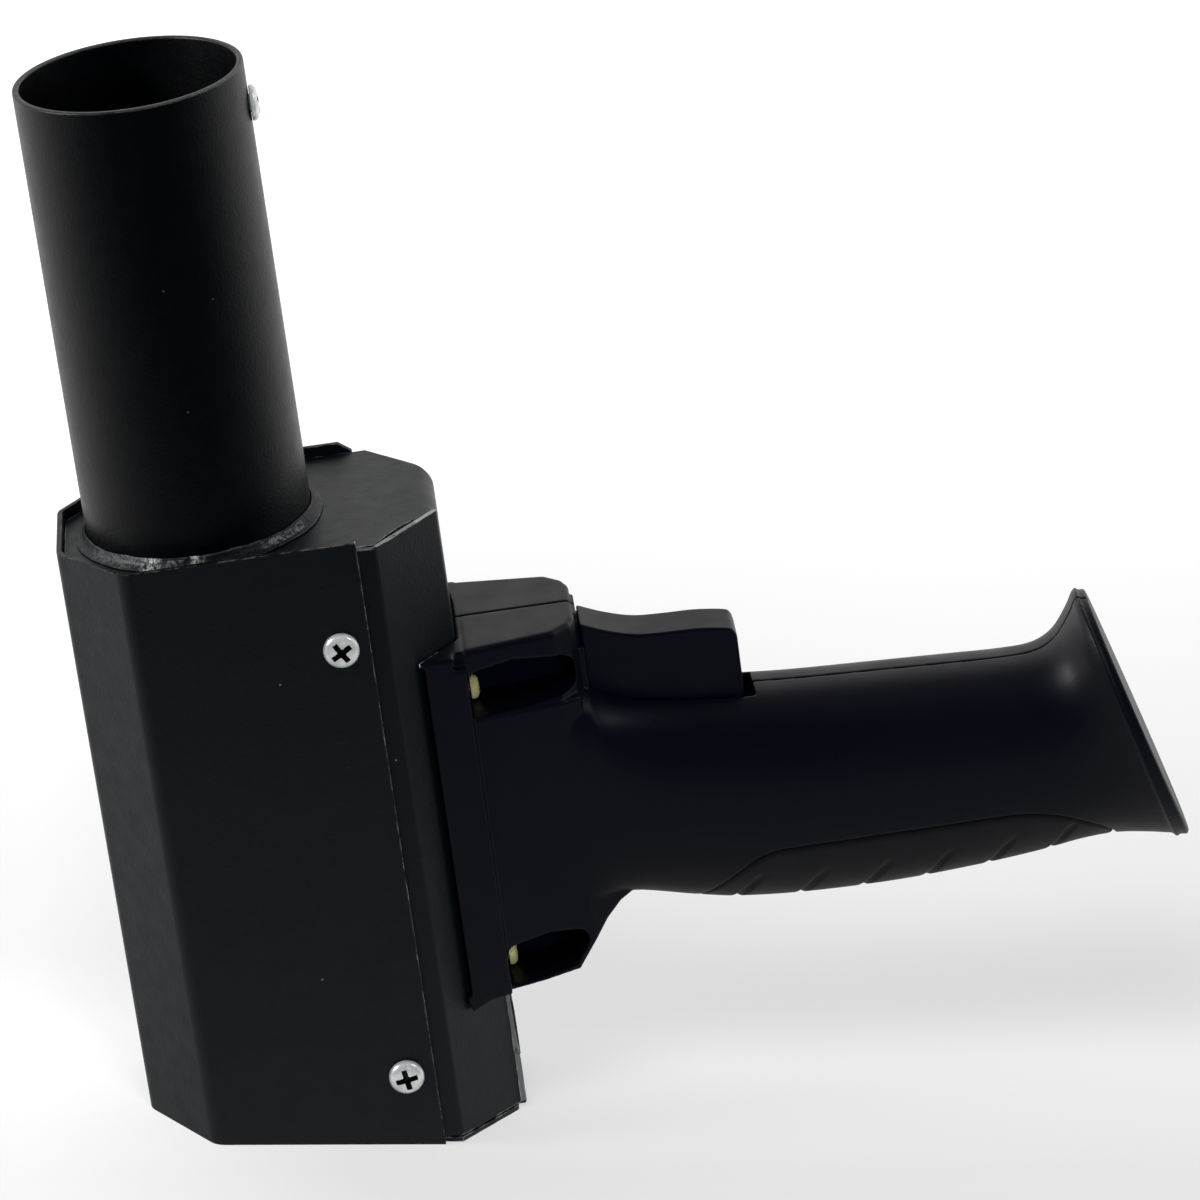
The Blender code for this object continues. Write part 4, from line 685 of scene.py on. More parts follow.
def makeChassis():
    steps, half = box["bendSteps"], box["foldHalf"]
    sidePath = rounded(((chamferEndX, box["plateTop"]), (wallX, box["plateTop"]), (wallX, floorZ(wallX)),
                        (chamferEndX, floorZ(chamferEndX))), box["foldRadius"], steps)[1:-1]
    topFold, bottomFold = sidePath[:steps + 1], sidePath[steps + 1:]
    notchHigh = topFold[-1].y - box["foldRadius"] / 2
    notchLow = bottomFold[0].y + box["foldRadius"] / 2
    bm = bmesh.new()
    strip = topFold + [Vector((wallX, notchHigh)), Vector((wallX, notchLow))] + bottomFold

    def stripEnds(index):
        # the top fold runs out to the chamfers; the rest stops short of them
        x = strip[index].x
        if index >= steps:
            return -half, half
        return -chamferReach(x) + gapAt(x, topFold[0].x), chamferReach(x)

    for index, (upper, lower) in enumerate(zip(strip, strip[1:])):
        (frontUp, backUp), (frontLow, backLow) = stripEnds(index), stripEnds(index + 1)
        addFace(bm, (upper.x, frontUp, upper.y), (upper.x, backUp, upper.y),
                (lower.x, backLow, lower.y), (lower.x, frontLow, lower.y))

    def wallTop(side, x):
        # the front chamfer stands as high as the plate, the back one stays under it
        if side < 0:
            return box["plateTop"] - box["frontDrop"]
        fold = heightAt(topFold, x, box["plateTop"] if x < topFold[0].x else topFold[-1].y)
        return fold - sheet * box["backSlack"] - box["slit"]

    afterBend = box["wallBendSteps"] + 2
    for side, seamX in ((-1, box["seamFront"]), (1, box["seamBack"])):
        plan = [(wallX, half + box["relief"]), *chassisCorners[2:], (seamX - box["flangeLap"], chassisCorners[3][1])]
        path = rounded(plan, box["bend"], box["wallBendSteps"])
        path[afterBend:afterBend] = [path[afterBend - 1].lerp(path[afterBend], share) for share in box["columns"]]
        for near, far in zip(path, path[1:]):
            for low, high in ((None, notchLow), (notchLow, notchHigh), (notchHigh, None)):
                bottoms = [floorZ(p.x) + sheet + box["slit"] if low is None else low for p in (near, far)]
                tops = [wallTop(side, p.x) if high is None else high for p in (near, far)]
                addFace(bm, (near.x, side * near.y, bottoms[0]), (far.x, side * far.y, bottoms[1]),
                        (far.x, side * far.y, tops[1]), (near.x, side * near.y, tops[0]))
        addFace(bm, (wallX, side * half, notchLow), (wallX, side * path[0].y, notchLow),
                (wallX, side * path[0].y, notchHigh), (wallX, side * half, notchHigh))
    addFace(bm, *((x, y, box["plateTop"]) for x, y in topPlateOutline(topFold[0].x)))
    addFace(bm, *((x, y, floorZ(x)) for x, y in bottomPlateOutline(bottomFold[-1].x)))
    part = sheetPart("boxChassis", bm, Vector((1, 0, 0)))
    for side in (-1, 1):
        innerX, nearY, farY = wallX - box["edgeLineDepth"], *(side * box["edgeLineY"] + offset for offset in
                                                              (-box["edgeLineHalf"], box["edgeLineHalf"]))
        join(part, partFrom("wallEdge", skinRings([
            [(innerX, nearY, z), (wallX + proud, nearY, z), (wallX + proud, farY, z), (innerX, farY, z)]
            for z, proud in box["edgeLine"]])))
    wireRadius, wireZ = box["wireHole"]
    carve(part, pin("tubeHole", tubeRadius + fitGap, 4 * sheet, (tubeX, 0, box["plateTop"] - 3 * sheet), "Z", 128),
          pin("wireHole", wireRadius + fitGap, 4 * sheet, (wallX - 3 * sheet, 0, wireZ), "X", 40),
          *flangeHoles(wallX - 3 * sheet, 4 * sheet), *coverHoles())
    roundEdges(part, box["edgeRound"], *box["edgeSteps"])
    (lowY, highY), (lowEdge, highEdge) = box["rubY"], box["rubNear"]

    def rubbedAndHighlit(middle):
        # the front chamfer's top edge is rubbed; the strips on the wall's edge below the handle get a painted
        # highlight
        fromStart = middle.x - box["rubX"]
        if middle.z > box["plateTop"] - box["rubDepth"] and fromStart > 0 and lowY < middle.y < highY:
            onEdge = lowEdge < chamferReach(middle.x) + middle.y < highEdge
            return min(1.0, box["rubStart"] + fromStart / box["rubRun"]) if onEdge else 0.0
        onStrip = middle.x > wallX + box["stripRub"] and middle.z < handleLow and middle.y < 0
        return box["stripHighlight"] if onStrip else 0.0

    markFaces(part, "bare", rubbedAndHighlit)
    finishPiece(part, chassisCoat, ["chassis"], flat=True)


def makeCover():
    path = rounded(((box["seamFront"], -sideY), octagon[0], *octagon[7:4:-1], (box["seamBack"], sideY)),
                   box["coverBend"], box["bendSteps"])
    path.append(Vector((box["seamBack"] + box["tabRun"], sideY)))
    bm = bmesh.new()

    def topAt(point):
        slant = 1 - (path[-1].x - point.x) / box["tabRun"] if point.y > 0 else 0.0
        return box["coverTop"] - box["tabDrop"] * max(0.0, slant)

    for near, far in zip(path, path[1:]):
        addFace(bm, (near.x, near.y, floorZ(near.x)), (far.x, far.y, floorZ(far.x)),
                (far.x, far.y, topAt(far)), (near.x, near.y, topAt(near)))
    part = sheetPart("boxCover", bm, Vector((-1, 0, 0)))
    carve(part, *coverHoles())
    roundEdges(part, box["edgeRound"], *box["edgeSteps"])

    def rubbedAndHighlit(middle):
        # the front seam's edge
        if middle.y > 0 or middle.x < box["seamFront"] - box["seamRub"]:
            return 0.0
        return box["seamStrength"][0 if middle.z > box["coverTop"] - box["seamTop"] else 1]

    markFaces(part, "bare", rubbedAndHighlit)
    finishPiece(part, powderCoat, ["cover"], flat=True)


makeChassis()
makeCover()
print("box made")


# launch tube and its weld

tube = {
    **sizes(top=251.0, foot=85.0, wall=1.5, lip=0.45, retainerDrop=10.5),
    "lipSteps": 4,
    "segments": 160,
}
weld = {
    **sizes(width=2.5, stepHeight=0.13, unevenness=0.30, grit=0.045, thinnest=0.1),
    "seed": 11,
    "dabs": 30,
    "dabShift": 0.4,            # how far a dab's start strays, in dabs
    "dabHeights": (0.3, 1.4),
    "dabRise": (5, 0.2),        # how steeply a dab rises, and where from
    "lumps": 9,                 # slow waves round the tube
    "lumpCounts": (3, 26),
    "lumpSizes": (0.2, 1.0),
    "lumpShare": 5,
    "hollow": 0.26,             # how far its face sags between its two toes
    "sections": 9,
    "around": 720,
    # degrees round the tube, how strongly, and how broad within the fillet: the strong runs are bare burrs where the
    # coat never took, the weak ones a painted highlight along the fillet
    "bareRuns": ((204, 242, 0.12, 0.6), (239, 252, 1.0, 0.8), (250, 265, 0.3, 0.5), (263, 273, 0.8, 0.6),
                 (300, 334, 0.28, 0.40)),
    "bareFade": 5,              # degrees
    "bareMiddle": 0.55,
    "bareLevels": (0.25, 1.0),
}
retainerSeat = Vector((tubeX + tubeRadius, 0, tube["top"] - tube["retainerDrop"]))


def makeTube():
    outer, inner, lip = tubeRadius, tubeRadius - tube["wall"], tube["lip"]
    foot, low, angles = tube["foot"], tube["top"] - lip, quarterTurn(tube["lipSteps"])
    profile = [(inner, foot), (outer, foot)]
    profile += [(outer - lip + lip * cos(angle), low + lip * sin(angle)) for angle in angles]
    profile += [(inner + lip - lip * sin(angle), low + lip * cos(angle)) for angle in angles]
    part = put(turned("launchTube", profile, tube["segments"]), (tubeX, 0, 0))
    carve(part, pin("hole", screwSizes["retainer"][2] + fitGap, 4 * tube["wall"],
                    retainerSeat - Vector((3 * tube["wall"], 0, 0)), "X", 40))
    finishPiece(part, tubeCoat, ["barrel_tube"])


def makeWeld():
    # a hollow fillet with faint overlapping dabs and some grit
    random = Random(weld["seed"])
    dabs, sections = weld["dabs"], weld["sections"]
    starts = [(index + random.uniform(-weld["dabShift"], weld["dabShift"])) / dabs for index in range(dabs)]
    heights = [random.uniform(*weld["dabHeights"]) for _ in starts]
    lumps = [(random.uniform(0, 2 * pi), random.randint(*weld["lumpCounts"]), random.uniform(*weld["lumpSizes"]))
             for _ in range(weld["lumps"])]
    steepness, base = weld["dabRise"]
    rings = []
    for index in range(weld["around"]):
        share = index / weld["around"]
        angle = 2 * pi * share
        dab = max((n for n, start in enumerate(starts) if start <= share), default=dabs - 1)
        start = starts[dab] if starts[dab] <= share else starts[dab] - 1
        end = starts[(dab + 1) % dabs]
        if end <= share:
            end += 1
        into = (share - start) / (end - start)
        swell = weld["stepHeight"] * heights[dab] * (1 - into) * min(1.0, into * steepness + base)
        wander = sum(size * sin(count * angle + phase) for phase, count, size in lumps)
        reach = weld["width"] + swell + weld["unevenness"] * wander / weld["lumpShare"] - fitGap
        ring = [(fitGap, fitGap)]
        for step in range(sections):
            across = step / (sections - 1)
            sag = 1 - weld["hollow"] * sin(pi * across)
            grit = random.uniform(-1, 1) * weld["grit"] * sin(pi * across)
            ring.append((fitGap + reach * (1 - across) * sag + grit, fitGap + reach * across * sag + grit))
        rings.append([((tubeRadius + r) * cos(angle), (tubeRadius + r) * sin(angle), box["plateTop"] + z)
                      for r, z in ring])
    part = put(partFrom("weldBead", skinRings(rings, closed=True)), (tubeX, 0, 0))

    # pale marks on the fillet: bare burrs where the runs are strong, a painted highlight where they are weak
    def bareAt(middle):
        degrees = atan2(middle.y, middle.x - tubeX) * 180 / pi % 360
        rise, out = middle.z - box["plateTop"], Vector((middle.x - tubeX, middle.y)).length - tubeRadius
        offMiddle = abs(rise / max(rise + out, weld["thinnest"]) - weld["bareMiddle"])
        level = 0.0
        for low, high, strength, spread in weld["bareRuns"]:
            if offMiddle < spread / 2:
                level = max(level, strength * clamp(min(degrees - low, high - degrees) / weld["bareFade"]))
        return level * random.uniform(*weld["bareLevels"])

    markFaces(part, "bare", bareAt)
    finishPiece(part, weldCoat, ["barrel_weld"], sharp=75)


makeTube()
makeWeld()
print("tube and weld made")


# screws: a pan head with a cross recess

screwForm = {
    **sizes(tip=0.35, under=0.25, axis=0.02, recessFloor=0.4, recessSkin=0.06),
    "rise": 0.28,               # share of the head's height below the dome
    "domePower": 0.62,
    "underSteps": 4,
    "domeSteps": 10,
    "segments": 56,
    # the cross at three levels: share of the head's height, and of the arm's reach
    "armLevels": ((-0.10, 0.45), (0.45, 0.82), (1.4, 1.22)),
    "armTaper": 0.55,           # share of the arm's width that doesn't shrink
    # the hole in the middle: share of the head's height, and of the arm's width
    "holeLevels": ((-0.12, 0.4), (1.5, 1.05)),
    "holeSides": 16,
    "recessReach": 0.976,       # share of the cross's reach within which a low face belongs to it
    "turn": 0.3,
    "turns": {"cover_screw_front_upper": 0.55, "cover_screw_front_lower": 0.15, "retaining_screw": 0.9,
              "cover_screw_back_upper": 1.1, "flange_screw_front_lower": 0.5},
}


def makeScrew(name, kind, place, axis, finish, body="launcher"):
    headRadius, headHeight, shankRadius, length, armWidth, armReach = screwSizes[kind]
    tip, under, rise = screwForm["tip"], screwForm["under"], screwForm["rise"]
    steady, power = screwForm["armTaper"], screwForm["domePower"]
    profile = [(screwForm["axis"], -length), (shankRadius - tip, -length), (shankRadius, tip - length),
               (shankRadius, 0)]
    profile += [(headRadius - under + under * sin(angle), under - under * cos(angle))
                for angle in quarterTurn(screwForm["underSteps"])]
    profile += [(headRadius * cos(angle) ** power, headHeight * (rise + (1 - rise) * sin(angle)))
                for angle in quarterTurn(screwForm["domeSteps"])[:-1]]
    part = turned(name, profile + [(screwForm["axis"], headHeight)], screwForm["segments"], closed=False)
    arms = []
    for turn in (0.0, pi / 2):
        levels = []
        for share, shrink in screwForm["armLevels"]:
            reach, half = armReach * shrink, armWidth / 2 * (steady + (1 - steady) * shrink)
            outline = ((-reach, -half), (reach, -half), (reach, half), (-reach, half))
            levels.append([(x * cos(turn) - y * sin(turn), x * sin(turn) + y * cos(turn), headHeight * share)
                           for x, y in outline])
        arms.append(partFrom("arm", skinRings(levels)))
    hole = turned("middleHole", [(armWidth * wide, headHeight * share) for share, wide in screwForm["holeLevels"]],
                  screwForm["holeSides"], closed=False)
    carve(part, *arms, hole)

    def insideRecess(middle):
        reach = min(1.0, Vector((middle.x, middle.y)).length / headRadius)
        dome = headHeight * (rise + (1 - rise) * (1 - reach ** (2 / power)) ** 0.5)
        inHeight = -screwForm["recessFloor"] < middle.z < dome - screwForm["recessSkin"]
        return 1.0 if inHeight and reach < screwForm["recessReach"] * armReach / headRadius else 0.0

    # marks the faces that get the recess's painted shade
    markFaces(part, "recess", insideRecess)
    part.data.transform(Matrix.Rotation(screwForm["turns"].get(name, screwForm["turn"]), 4, 'Z'))
    put(part, place, axis)
    finishPiece(part, finish, [name], body=body, sharp=38)
    part.name = name + "_detail"


def makeScrews():
    for name, side, z in coverScrewPlaces:
        makeScrew("cover_screw_" + name, "cover", (coverScrewX, side * (sideY + fitGap), z), sideAxis[side],
                  brightZinc)
    for name, y, z in flangeScrewPlaces:
        makeScrew("flange_screw_" + name, "flange", (pocketX + fitGap, y, z), "X", yellowZinc)
    makeScrew("retaining_screw", "retainer", retainerSeat + Vector((fitGap / 2, 0, 0)), "X", brightZinc,
              body="retaining_screw")
    for index, (x, z) in enumerate(gripScrewPosts):
        makeScrew(f"grip_screw_{index + 1}", "grip", (x, gripScrewSeat + fitGap, z), "Y", brightZinc)


# handle

grip = {
    **sizes(axisZ=60.0, height=50.5, half=17.5, length=161.0, shell=4.0, rim=4.0, earGap=1.0, voxel=0.36),
    "parting": 0.04 * mm,       # half the gap between the two shells
    "sides": 88,
    "steps": 5,
    "keep": 0.30,               # share of the remeshed faces that stay
    "smoothing": (0.5, 3),      # strength, rounds
    "cavity": (2, 32, 6),       # steps between rows, sides, the first row
    "beyond": 300.0 * mm,       # farther than any part of the handle
    # the flange with its ears, and its rounded edges
    **sizes(flangeHalf=24.0, flangeEar=9.0, flangeWeb=1.2, flangeRound=0.5),
    # the head above the grip
    **sizes(headRun=27.0, headTop=113.0, headHalf=20.7, headShoulder=(22.0, 16.8), headEndHalf=13.0,
            headEndChamfer=(1.3, 3.5), headSink=4.0, headRound=1.1),
    "edgeAngle": 50,
    # the neck that carries the lower pockets: its underside, from the wall and the flange's lower edge
    **sizes(neckUnder=((17.7, 2.1), (25.5, 12.9), (29.0, 16.2), (32.5, 17.9)), neckHalf=17.6, neckEndHalf=13.5,
            neckLift=(0.3, 0.9), neckEnd=0.8, neckEndRise=12.0, neckSink=5.0),
    # the side pockets: upper and lower where they come in pairs
    **sizes(pocketDepth=20.4, pocketHeight=11.2, pocketRises=(1.2, 1.8), pocketWall=1.3, pocketOut=10.0,
            pocketRadii=(0.3, 2.8), pocketFeet=((12.0, 0.3), (8.0, 0.6)), pocketSlant=12.0,
            pocketFarTop=((-3.0, -0.5), (0.0, -3.0)), pocketFarLow=1.5, lowerDrop=1.4),
    # cuts in the flange: its corners beside the head, from the wall and the top; its foot, from the ear's edge
    **sizes(cornerCut=((-1.5, -3.2), (9.0, -3.2), (9.0, 1.0), (-0.4, 1.0)), cornerOff=0.1, cutReach=30.0,
            footCut=((5.0, -1.0), (11.5, -1.0), (11.5, 1.2), (5.0, 0.05))),
    # the groove beside each ear: y and the way off the chamfer, then how far it stays from foot and top
    **sizes(grooveY=(25.5, 20.5), grooveOut=-1.0, grooveEnds=(1.4, 1.3)),
    # the point that runs down each ear, from the ear's lower corner, and its two sides; it is a painted shadow in
    # shape: a dark point put where the gap below the ear lies in shade
    **sizes(earTip=((0.15, 2.0), (0.9, -2.2), (7.0, 0.8), (7.0, 2.0)), earTipSides=(5.0, 0.12)),
    # the web behind the trigger's front end, and short fins: inner side, reach, top
    **sizes(web=((-2.2, 0.75), 5.63, (0.1, -1.03)), fins=((-8.6, 1.5, 104.5), (6.6, 2.8, 106.8)),
            finStart=(-2.0, 0.2), finWidth=2.0),
    # the screws that hold the shells: the first two from the box, one from the slot, one from the end
    **sizes(screws=((14.5, 48.0), (14.5, 86.0), (10.0, 47.0), (-27.0, 60.0))),
    # inside, from the pivot: x, width, low, high, inner face
    **sizes(ribs=((12.5, 3.0, 58.0, 61.7, 0.04), (27.5, 3.0, 58.0, 61.7, 0.04), (19.5, 4.0, 60.0, 70.3, 3.5),
                  (3.5, 6.2, 64.4, 67.4, 0.04))),
    **sizes(pivotPost=3.4, pivotPin=(1.5, 21.5), postWall=1.2, slotStart=0.75, slotTop=10.0,
            channel=((-4.0, 2.0), 3.2, (57.0, 71.0)), bore=(2.4, 4.8), counterbore=20.0,
            roomX=-30.0, roomZ=(-30.0, 180.0), recessHalf=50.0),
    # the rubbed top edge of the front ear
    **sizes(rubY=-18.5, rubDepth=0.9, rubX=0.6, rubNear=1.0),
}
gripTop, gripLow = grip["axisZ"] + grip["height"] / 2, grip["axisZ"] - grip["height"] / 2
headEndX = wallX + grip["headRun"]
trigger = {
    **sizes(length=35.2, half=6.0, top=109.3, foot=82.0, wall=1.8, slotGap=0.5, slotRun=2.3, edge=0.65),
    **sizes(start=1.1, pivot=(4.5, 84.0), lug=3.4),
    "travel": radians(7),
    "lugAngles": [radians(-50 - 16 * step) for step in range(6)],
    # its top, from the front end
    "crown": inMetres(((0.0, 0.0), (6.0, -2.6), (12.5, -4.5), (19.5, -5.0), (26.5, -5.2), (33.0, -6.1), (34.6, -7.0),
                       (35.2, -8.8))),
    "crownSteps": 6,
    # hollowed out from the spring to the rear, with a rib that presses the switch's lever
    **sizes(hollowStart=10.4, hollowDrop=6.3, hollowOpen=10.0, rib=(26.5, 28.5), ribOver=0.5, ribDrop=12.0,
            leverZ=73.45, leverRun=16.0),
    "leverSlope": radians(12),
}
triggerX = headEndX + trigger["start"]
triggerEndX = triggerX + trigger["length"]
pivot = Vector((triggerX + trigger["pivot"][0], 0, trigger["pivot"][1]))
slotEndX = triggerEndX + trigger["slotRun"]
gripEndX = wallX + grip["length"]
gripScrewSeat = grip["half"] / 2
gripScrewPosts = [(start + x, z) for start, (x, z) in zip((wallX, wallX, slotEndX, gripEndX), grip["screws"])]

# rows along the handle: x and z on top, x and z below, how far the side stands out, and how square the section is;
# first from the pocket, the neck and the head's end, then with shares of the run between the slot and the butt for x
pocketRows = ((-1.0, -4.0, -1.0, 4.0, 3.0, 8.0), (9.0, -5.0, 9.0, 5.0, 1.0, 7.5))
neckRows = ((0.5, 16.5, 0.0, 3.5, 0.1, 7.0), (4.5, 11.8, 4.5, 9.2, 0.1, 6.5))
headEndRows = ((-2.0, 10.5, 8.0, 7.2, 0.2, 5.6), (0.8, 9.6, 11.8, 8.7, 0.2, 4.8), (3.0, 7.4, 16.0, 8.2, 0.2, 4.2),
               (7.5, 5.6, 21.0, 6.4, 0.1, 3.5), (16.5, 3.8, 29.0, 3.7, 0.0, 3.0), (28.5, 2.5, 39.0, 1.4, 0.0, 2.8))
buttRows = ((0.070, 1.0, 0.070, -0.1, 0.0, 2.7), (0.280, 0.0, 0.280, -0.4, 0.0, 2.7),
            (0.458, -0.8, 0.468, 0.5, 0.0, 2.7), (0.595, -1.3, 0.626, 1.8, 0.1, 2.6),
            (0.679, -0.9, 0.742, 3.3, 0.5, 2.5), (0.731, 1.7, 0.826, 3.6, 1.5, 2.4),
            (0.768, 6.5, 0.900, 2.7, 3.1, 2.35), (0.787, 10.1, 0.962, 1.6, 4.9, 2.3))
rim = {
    # share of the rim's thickness, and how far its edge stands out there
    "shape": ((0.06, -0.05), (0.14, 0.45), (0.24, 0.76), (0.34, 0.74), (0.42, 0.30), (0.50, 0.18), (0.72, 0.30),
              (0.84, 0.28), (0.92, 0.05), (0.97, -0.35), (0.99, -0.9)),
    "square": 2.3,
    "topShare": 0.85,
    **sizes(endDrop=0.1, endX=0.4, endLow=0.6, endHalf=0.1),
}


def gripRows():
    neckX, neckLow = (corner + step for corner, step in zip((wallX, handleLow), grip["neckUnder"][0]))
    span = gripEndX - slotEndX
    rows = []
    for table, topX, topZ, lowX, lowZ, unit in (
            (pocketRows, pocketX, grip["headTop"], pocketX, handleLow, mm),
            (neckRows, neckX, gripTop, neckX, neckLow, mm),
            (headEndRows, headEndX, gripTop, neckX, gripLow, mm),
            (buttRows, slotEndX, gripTop, slotEndX, gripLow, span)):
        rows += [Vector((topX + overX * unit, topZ + rise * mm, lowX + underX * unit, lowZ + lift * mm,
                         grip["half"] + swell * mm, square)) for overX, rise, underX, lift, swell, square in table]
    return rows


def smoothRows(rows, steps):
    ends = [2 * rows[0] - rows[1]] + rows + [2 * rows[-1] - rows[-2]]
    out = []
    for a, b, c, d in zip(ends, ends[1:], ends[2:], ends[3:]):
        for index in range(steps):
            t = index / steps
            out.append(0.5 * (2 * b + (c - a) * t + (2 * a - 5 * b + 4 * c - d) * t ** 2
                              + (3 * b - a - 3 * c + d) * t ** 3))
    return out + [rows[-1]]


def rimRows(last):
    # the raised band round the grip's end, with a rounded lip
    end = Vector((last[0] + grip["rim"] * rim["topShare"], last[1] - rim["endDrop"], gripEndX + rim["endX"],
                  last[3] - rim["endLow"], last[4] + rim["endHalf"], rim["square"]))
    rows = []
    for share, proud in rim["shape"]:
        row = last.lerp(end, share)
        rows.append(Vector((row[0], row[1] + proud * mm, row[2], row[3] - proud * mm, row[4] + proud * mm,
                            rim["square"])))
    return rows


def sectionPoint(row, angle, inset):
    # a point on the handle's section at this row, below its surface
    topX, topZ, lowX, lowZ, half, square = row
    top, low = Vector((topX, 0, topZ)), Vector((lowX, 0, lowZ))
    middle, spine = (top + low) / 2, (top - low) / 2
    across = abs(cos(angle)) ** (2 / square) * (1 if cos(angle) > 0 else -1)
    rise = abs(sin(angle)) ** (2 / square) * (1 if sin(angle) > 0 else -1)
    return middle + spine.normalized() * (spine.length - inset) * rise + Vector((0, (half - inset) * across, 0))


def gripForm(name, inset, steps, sides, first=0, withRim=True):
    rows = smoothRows(gripRows()[first:], steps)
    if withRim:
        rows += rimRows(rows[-1])
    return partFrom(name, skinRings([[sectionPoint(row, 2 * pi * (index + 0.5) / sides, inset)
                                      for index in range(sides)] for row in rows]))


def handleBlocks():
    # the flange with its ears, the head above the grip, and the neck that carries the lower pockets
    earX, webX = wallX - grip["flangeEar"], pocketX - grip["flangeWeb"] / 2
    half, low, top = grip["flangeHalf"], handleLow, grip["headTop"]
    flange = upright("flange", ((earX, -half), (pocketX, -half), (pocketX, half), (earX, half)), low, top)
    chamferX, chamferHalf = grip["headEndChamfer"]
    shoulderX, shoulderHalf = grip["headShoulder"]
    plan = mirrored([(webX, grip["headHalf"]), (wallX + shoulderX, shoulderHalf),
                     (headEndX - chamferX, grip["headEndHalf"]), (headEndX, grip["headEndHalf"] - chamferHalf)])
    head = upright("head", plan, upperPocketZ - grip["headSink"], top)
    under = shifted(grip["neckUnder"], wallX, low)
    neckX, axisZ, (nearLift, farLift) = headEndX - grip["neckEnd"], grip["axisZ"], grip["neckLift"]
    sideView = [(webX, upperPocketZ), (webX, low + nearLift), (wallX + grip["neckUnder"][0][0] / 2, low + farLift),
                *under, (under[-1][0], axisZ), (neckX, axisZ + grip["neckEndRise"]), (neckX, upperPocketZ)]
    neckPlan = mirrored([(webX, grip["headHalf"]), (wallX + shoulderX, grip["neckHalf"]),
                         (under[-1][0], grip["neckEndHalf"])])
    neck = upright("neck", neckPlan, low - grip["neckSink"], top)
    combine(neck, [sideways("neckSide", sideView, -half, half)], 'INTERSECT')
    for part, size, count in ((flange, grip["flangeRound"], 3), (head, grip["headRound"], 4),
                              (neck, grip["flangeRound"], 3)):
        roundEdges(part, size, count, grip["edgeAngle"])
    corners = shifted(grip["cornerCut"], wallX, top)
    beside = grip["headHalf"] + grip["cornerOff"]
    carve(flange, *(sideways("shoulder", corners, *sorted((side * beside, side * grip["cutReach"])))
                    for side in (-1, 1)))
    carve(flange, sideways("slant", shifted(grip["footCut"], earX, low), -grip["cutReach"], grip["cutReach"]))
    corner, end = chassisCorners[2:]
    outward = Vector((corner[1] - end[1], end[0] - corner[0])).normalized() * -1
    (farY, nearY), out, inside = grip["grooveY"], grip["grooveOut"], grip["earGap"] + fitGap
    grooveFoot, grooveTop = grip["grooveEnds"]
    for side in (-1, 1):
        edge = []
        for y, off in ((farY, out), (farY, inside), (nearY, inside), (nearY, out)):
            x = end[0] + (corner[0] - end[0]) * (end[1] - y) / (end[1] - corner[1])
            edge.append((x + outward.x * off, side * (y + outward.y * off)))
        carve(flange, upright("earGroove", edge, low + grooveFoot, top - grooveTop))
    tip = shifted(grip["earTip"], earX, low)
    points = [sideways("earPoint", tip, *sorted(side * (half - step) for step in grip["earTipSides"]))
              for side in (-1, 1)]
    (webStart, webEnd), webHalf, (webLow, webTop) = grip["web"]
    web = block("web", (headEndX + webStart, -webHalf, gripTop + webLow), (headEndX + webEnd, webHalf, top + webTop))
    finBack, finLow = grip["finStart"]
    fins = [block("fin", (headEndX + finBack, lowY, gripTop + finLow),
                  (headEndX + reach, lowY + grip["finWidth"], finTop)) for lowY, reach, finTop in grip["fins"]]
    return flange, head, neck, web, *points, *fins


def pocketCutter(side, corners):
    inner, outer = grip["flangeHalf"] - grip["pocketDepth"], grip["flangeHalf"] + grip["pocketOut"]
    sharp, soft = grip["pocketRadii"]
    outline = rounded(corners[:3], sharp, 3)[:-1] + rounded(corners[1:], soft, 8)[1:]
    return sideways("pocket", outline, *sorted((side * inner, side * outer)))


def pocketCorners():
    # both start and end at their foot, run down to the plate, up it and along the roof
    (upperFoot, lowerFoot), (upperRise, lowerRise), wall = grip["pocketFeet"], grip["pocketRises"], grip["pocketWall"]
    low, roof, slantX = upperPocketZ, upperPocketZ + grip["pocketHeight"], wallX + grip["pocketSlant"]
    foot = (pocketX + upperFoot[0], low + upperFoot[1])
    farX = headEndX - wall
    upper = (foot, (pocketX, low), (pocketX, roof), (slantX, roof + upperRise),
             *shifted(grip["pocketFarTop"], farX, roof), (farX, low + grip["pocketFarLow"]), foot)
    low, roof = lowerPocketZ, lowerPocketZ + grip["pocketHeight"] - grip["lowerDrop"]
    foot = (pocketX + lowerFoot[0], low + lowerFoot[1])
    (tipX, tipZ), (bendX, bendZ) = shifted(grip["neckUnder"][:2], wallX, handleLow)
    lower = (foot, (pocketX, low), (pocketX, roof), (slantX, roof + lowerRise), (bendX - 2 * wall, bendZ - wall),
             (tipX - wall / 2, tipZ + wall), foot)
    return upper, lower


pad = {
    **sizes(start=45.5, length=98.5, height=16.5, runIn=18.0, runOut=16.0, thickness=1.7, below=20.0, overlap=2.0),
    **sizes(edge=1.1, edgeDrop=0.55, sink=0.02),        # the width and depth of its rounded edge
    **sizes(startRise=4.0, endRise=8.0, lineRise=0.4, radii=(6.0, 14.0, 34.0, 8.0)),
    "radiusSteps": 10,
    "rowSteps": 60,
    "along": 230,
    "across": 84,
    "trials": 24,               # to find where the edge crosses a section
    "grooves": 7,
    **sizes(grooveStart=9.0, grooveStep=14.6, grooveHalf=1.15, grooveDepth=0.75, grooveFade=4.0),
    "grooveReach": 10.5 * mm,   # how high a groove climbs
    "grooveLean": 0.75,         # how far it runs along for each step up
}


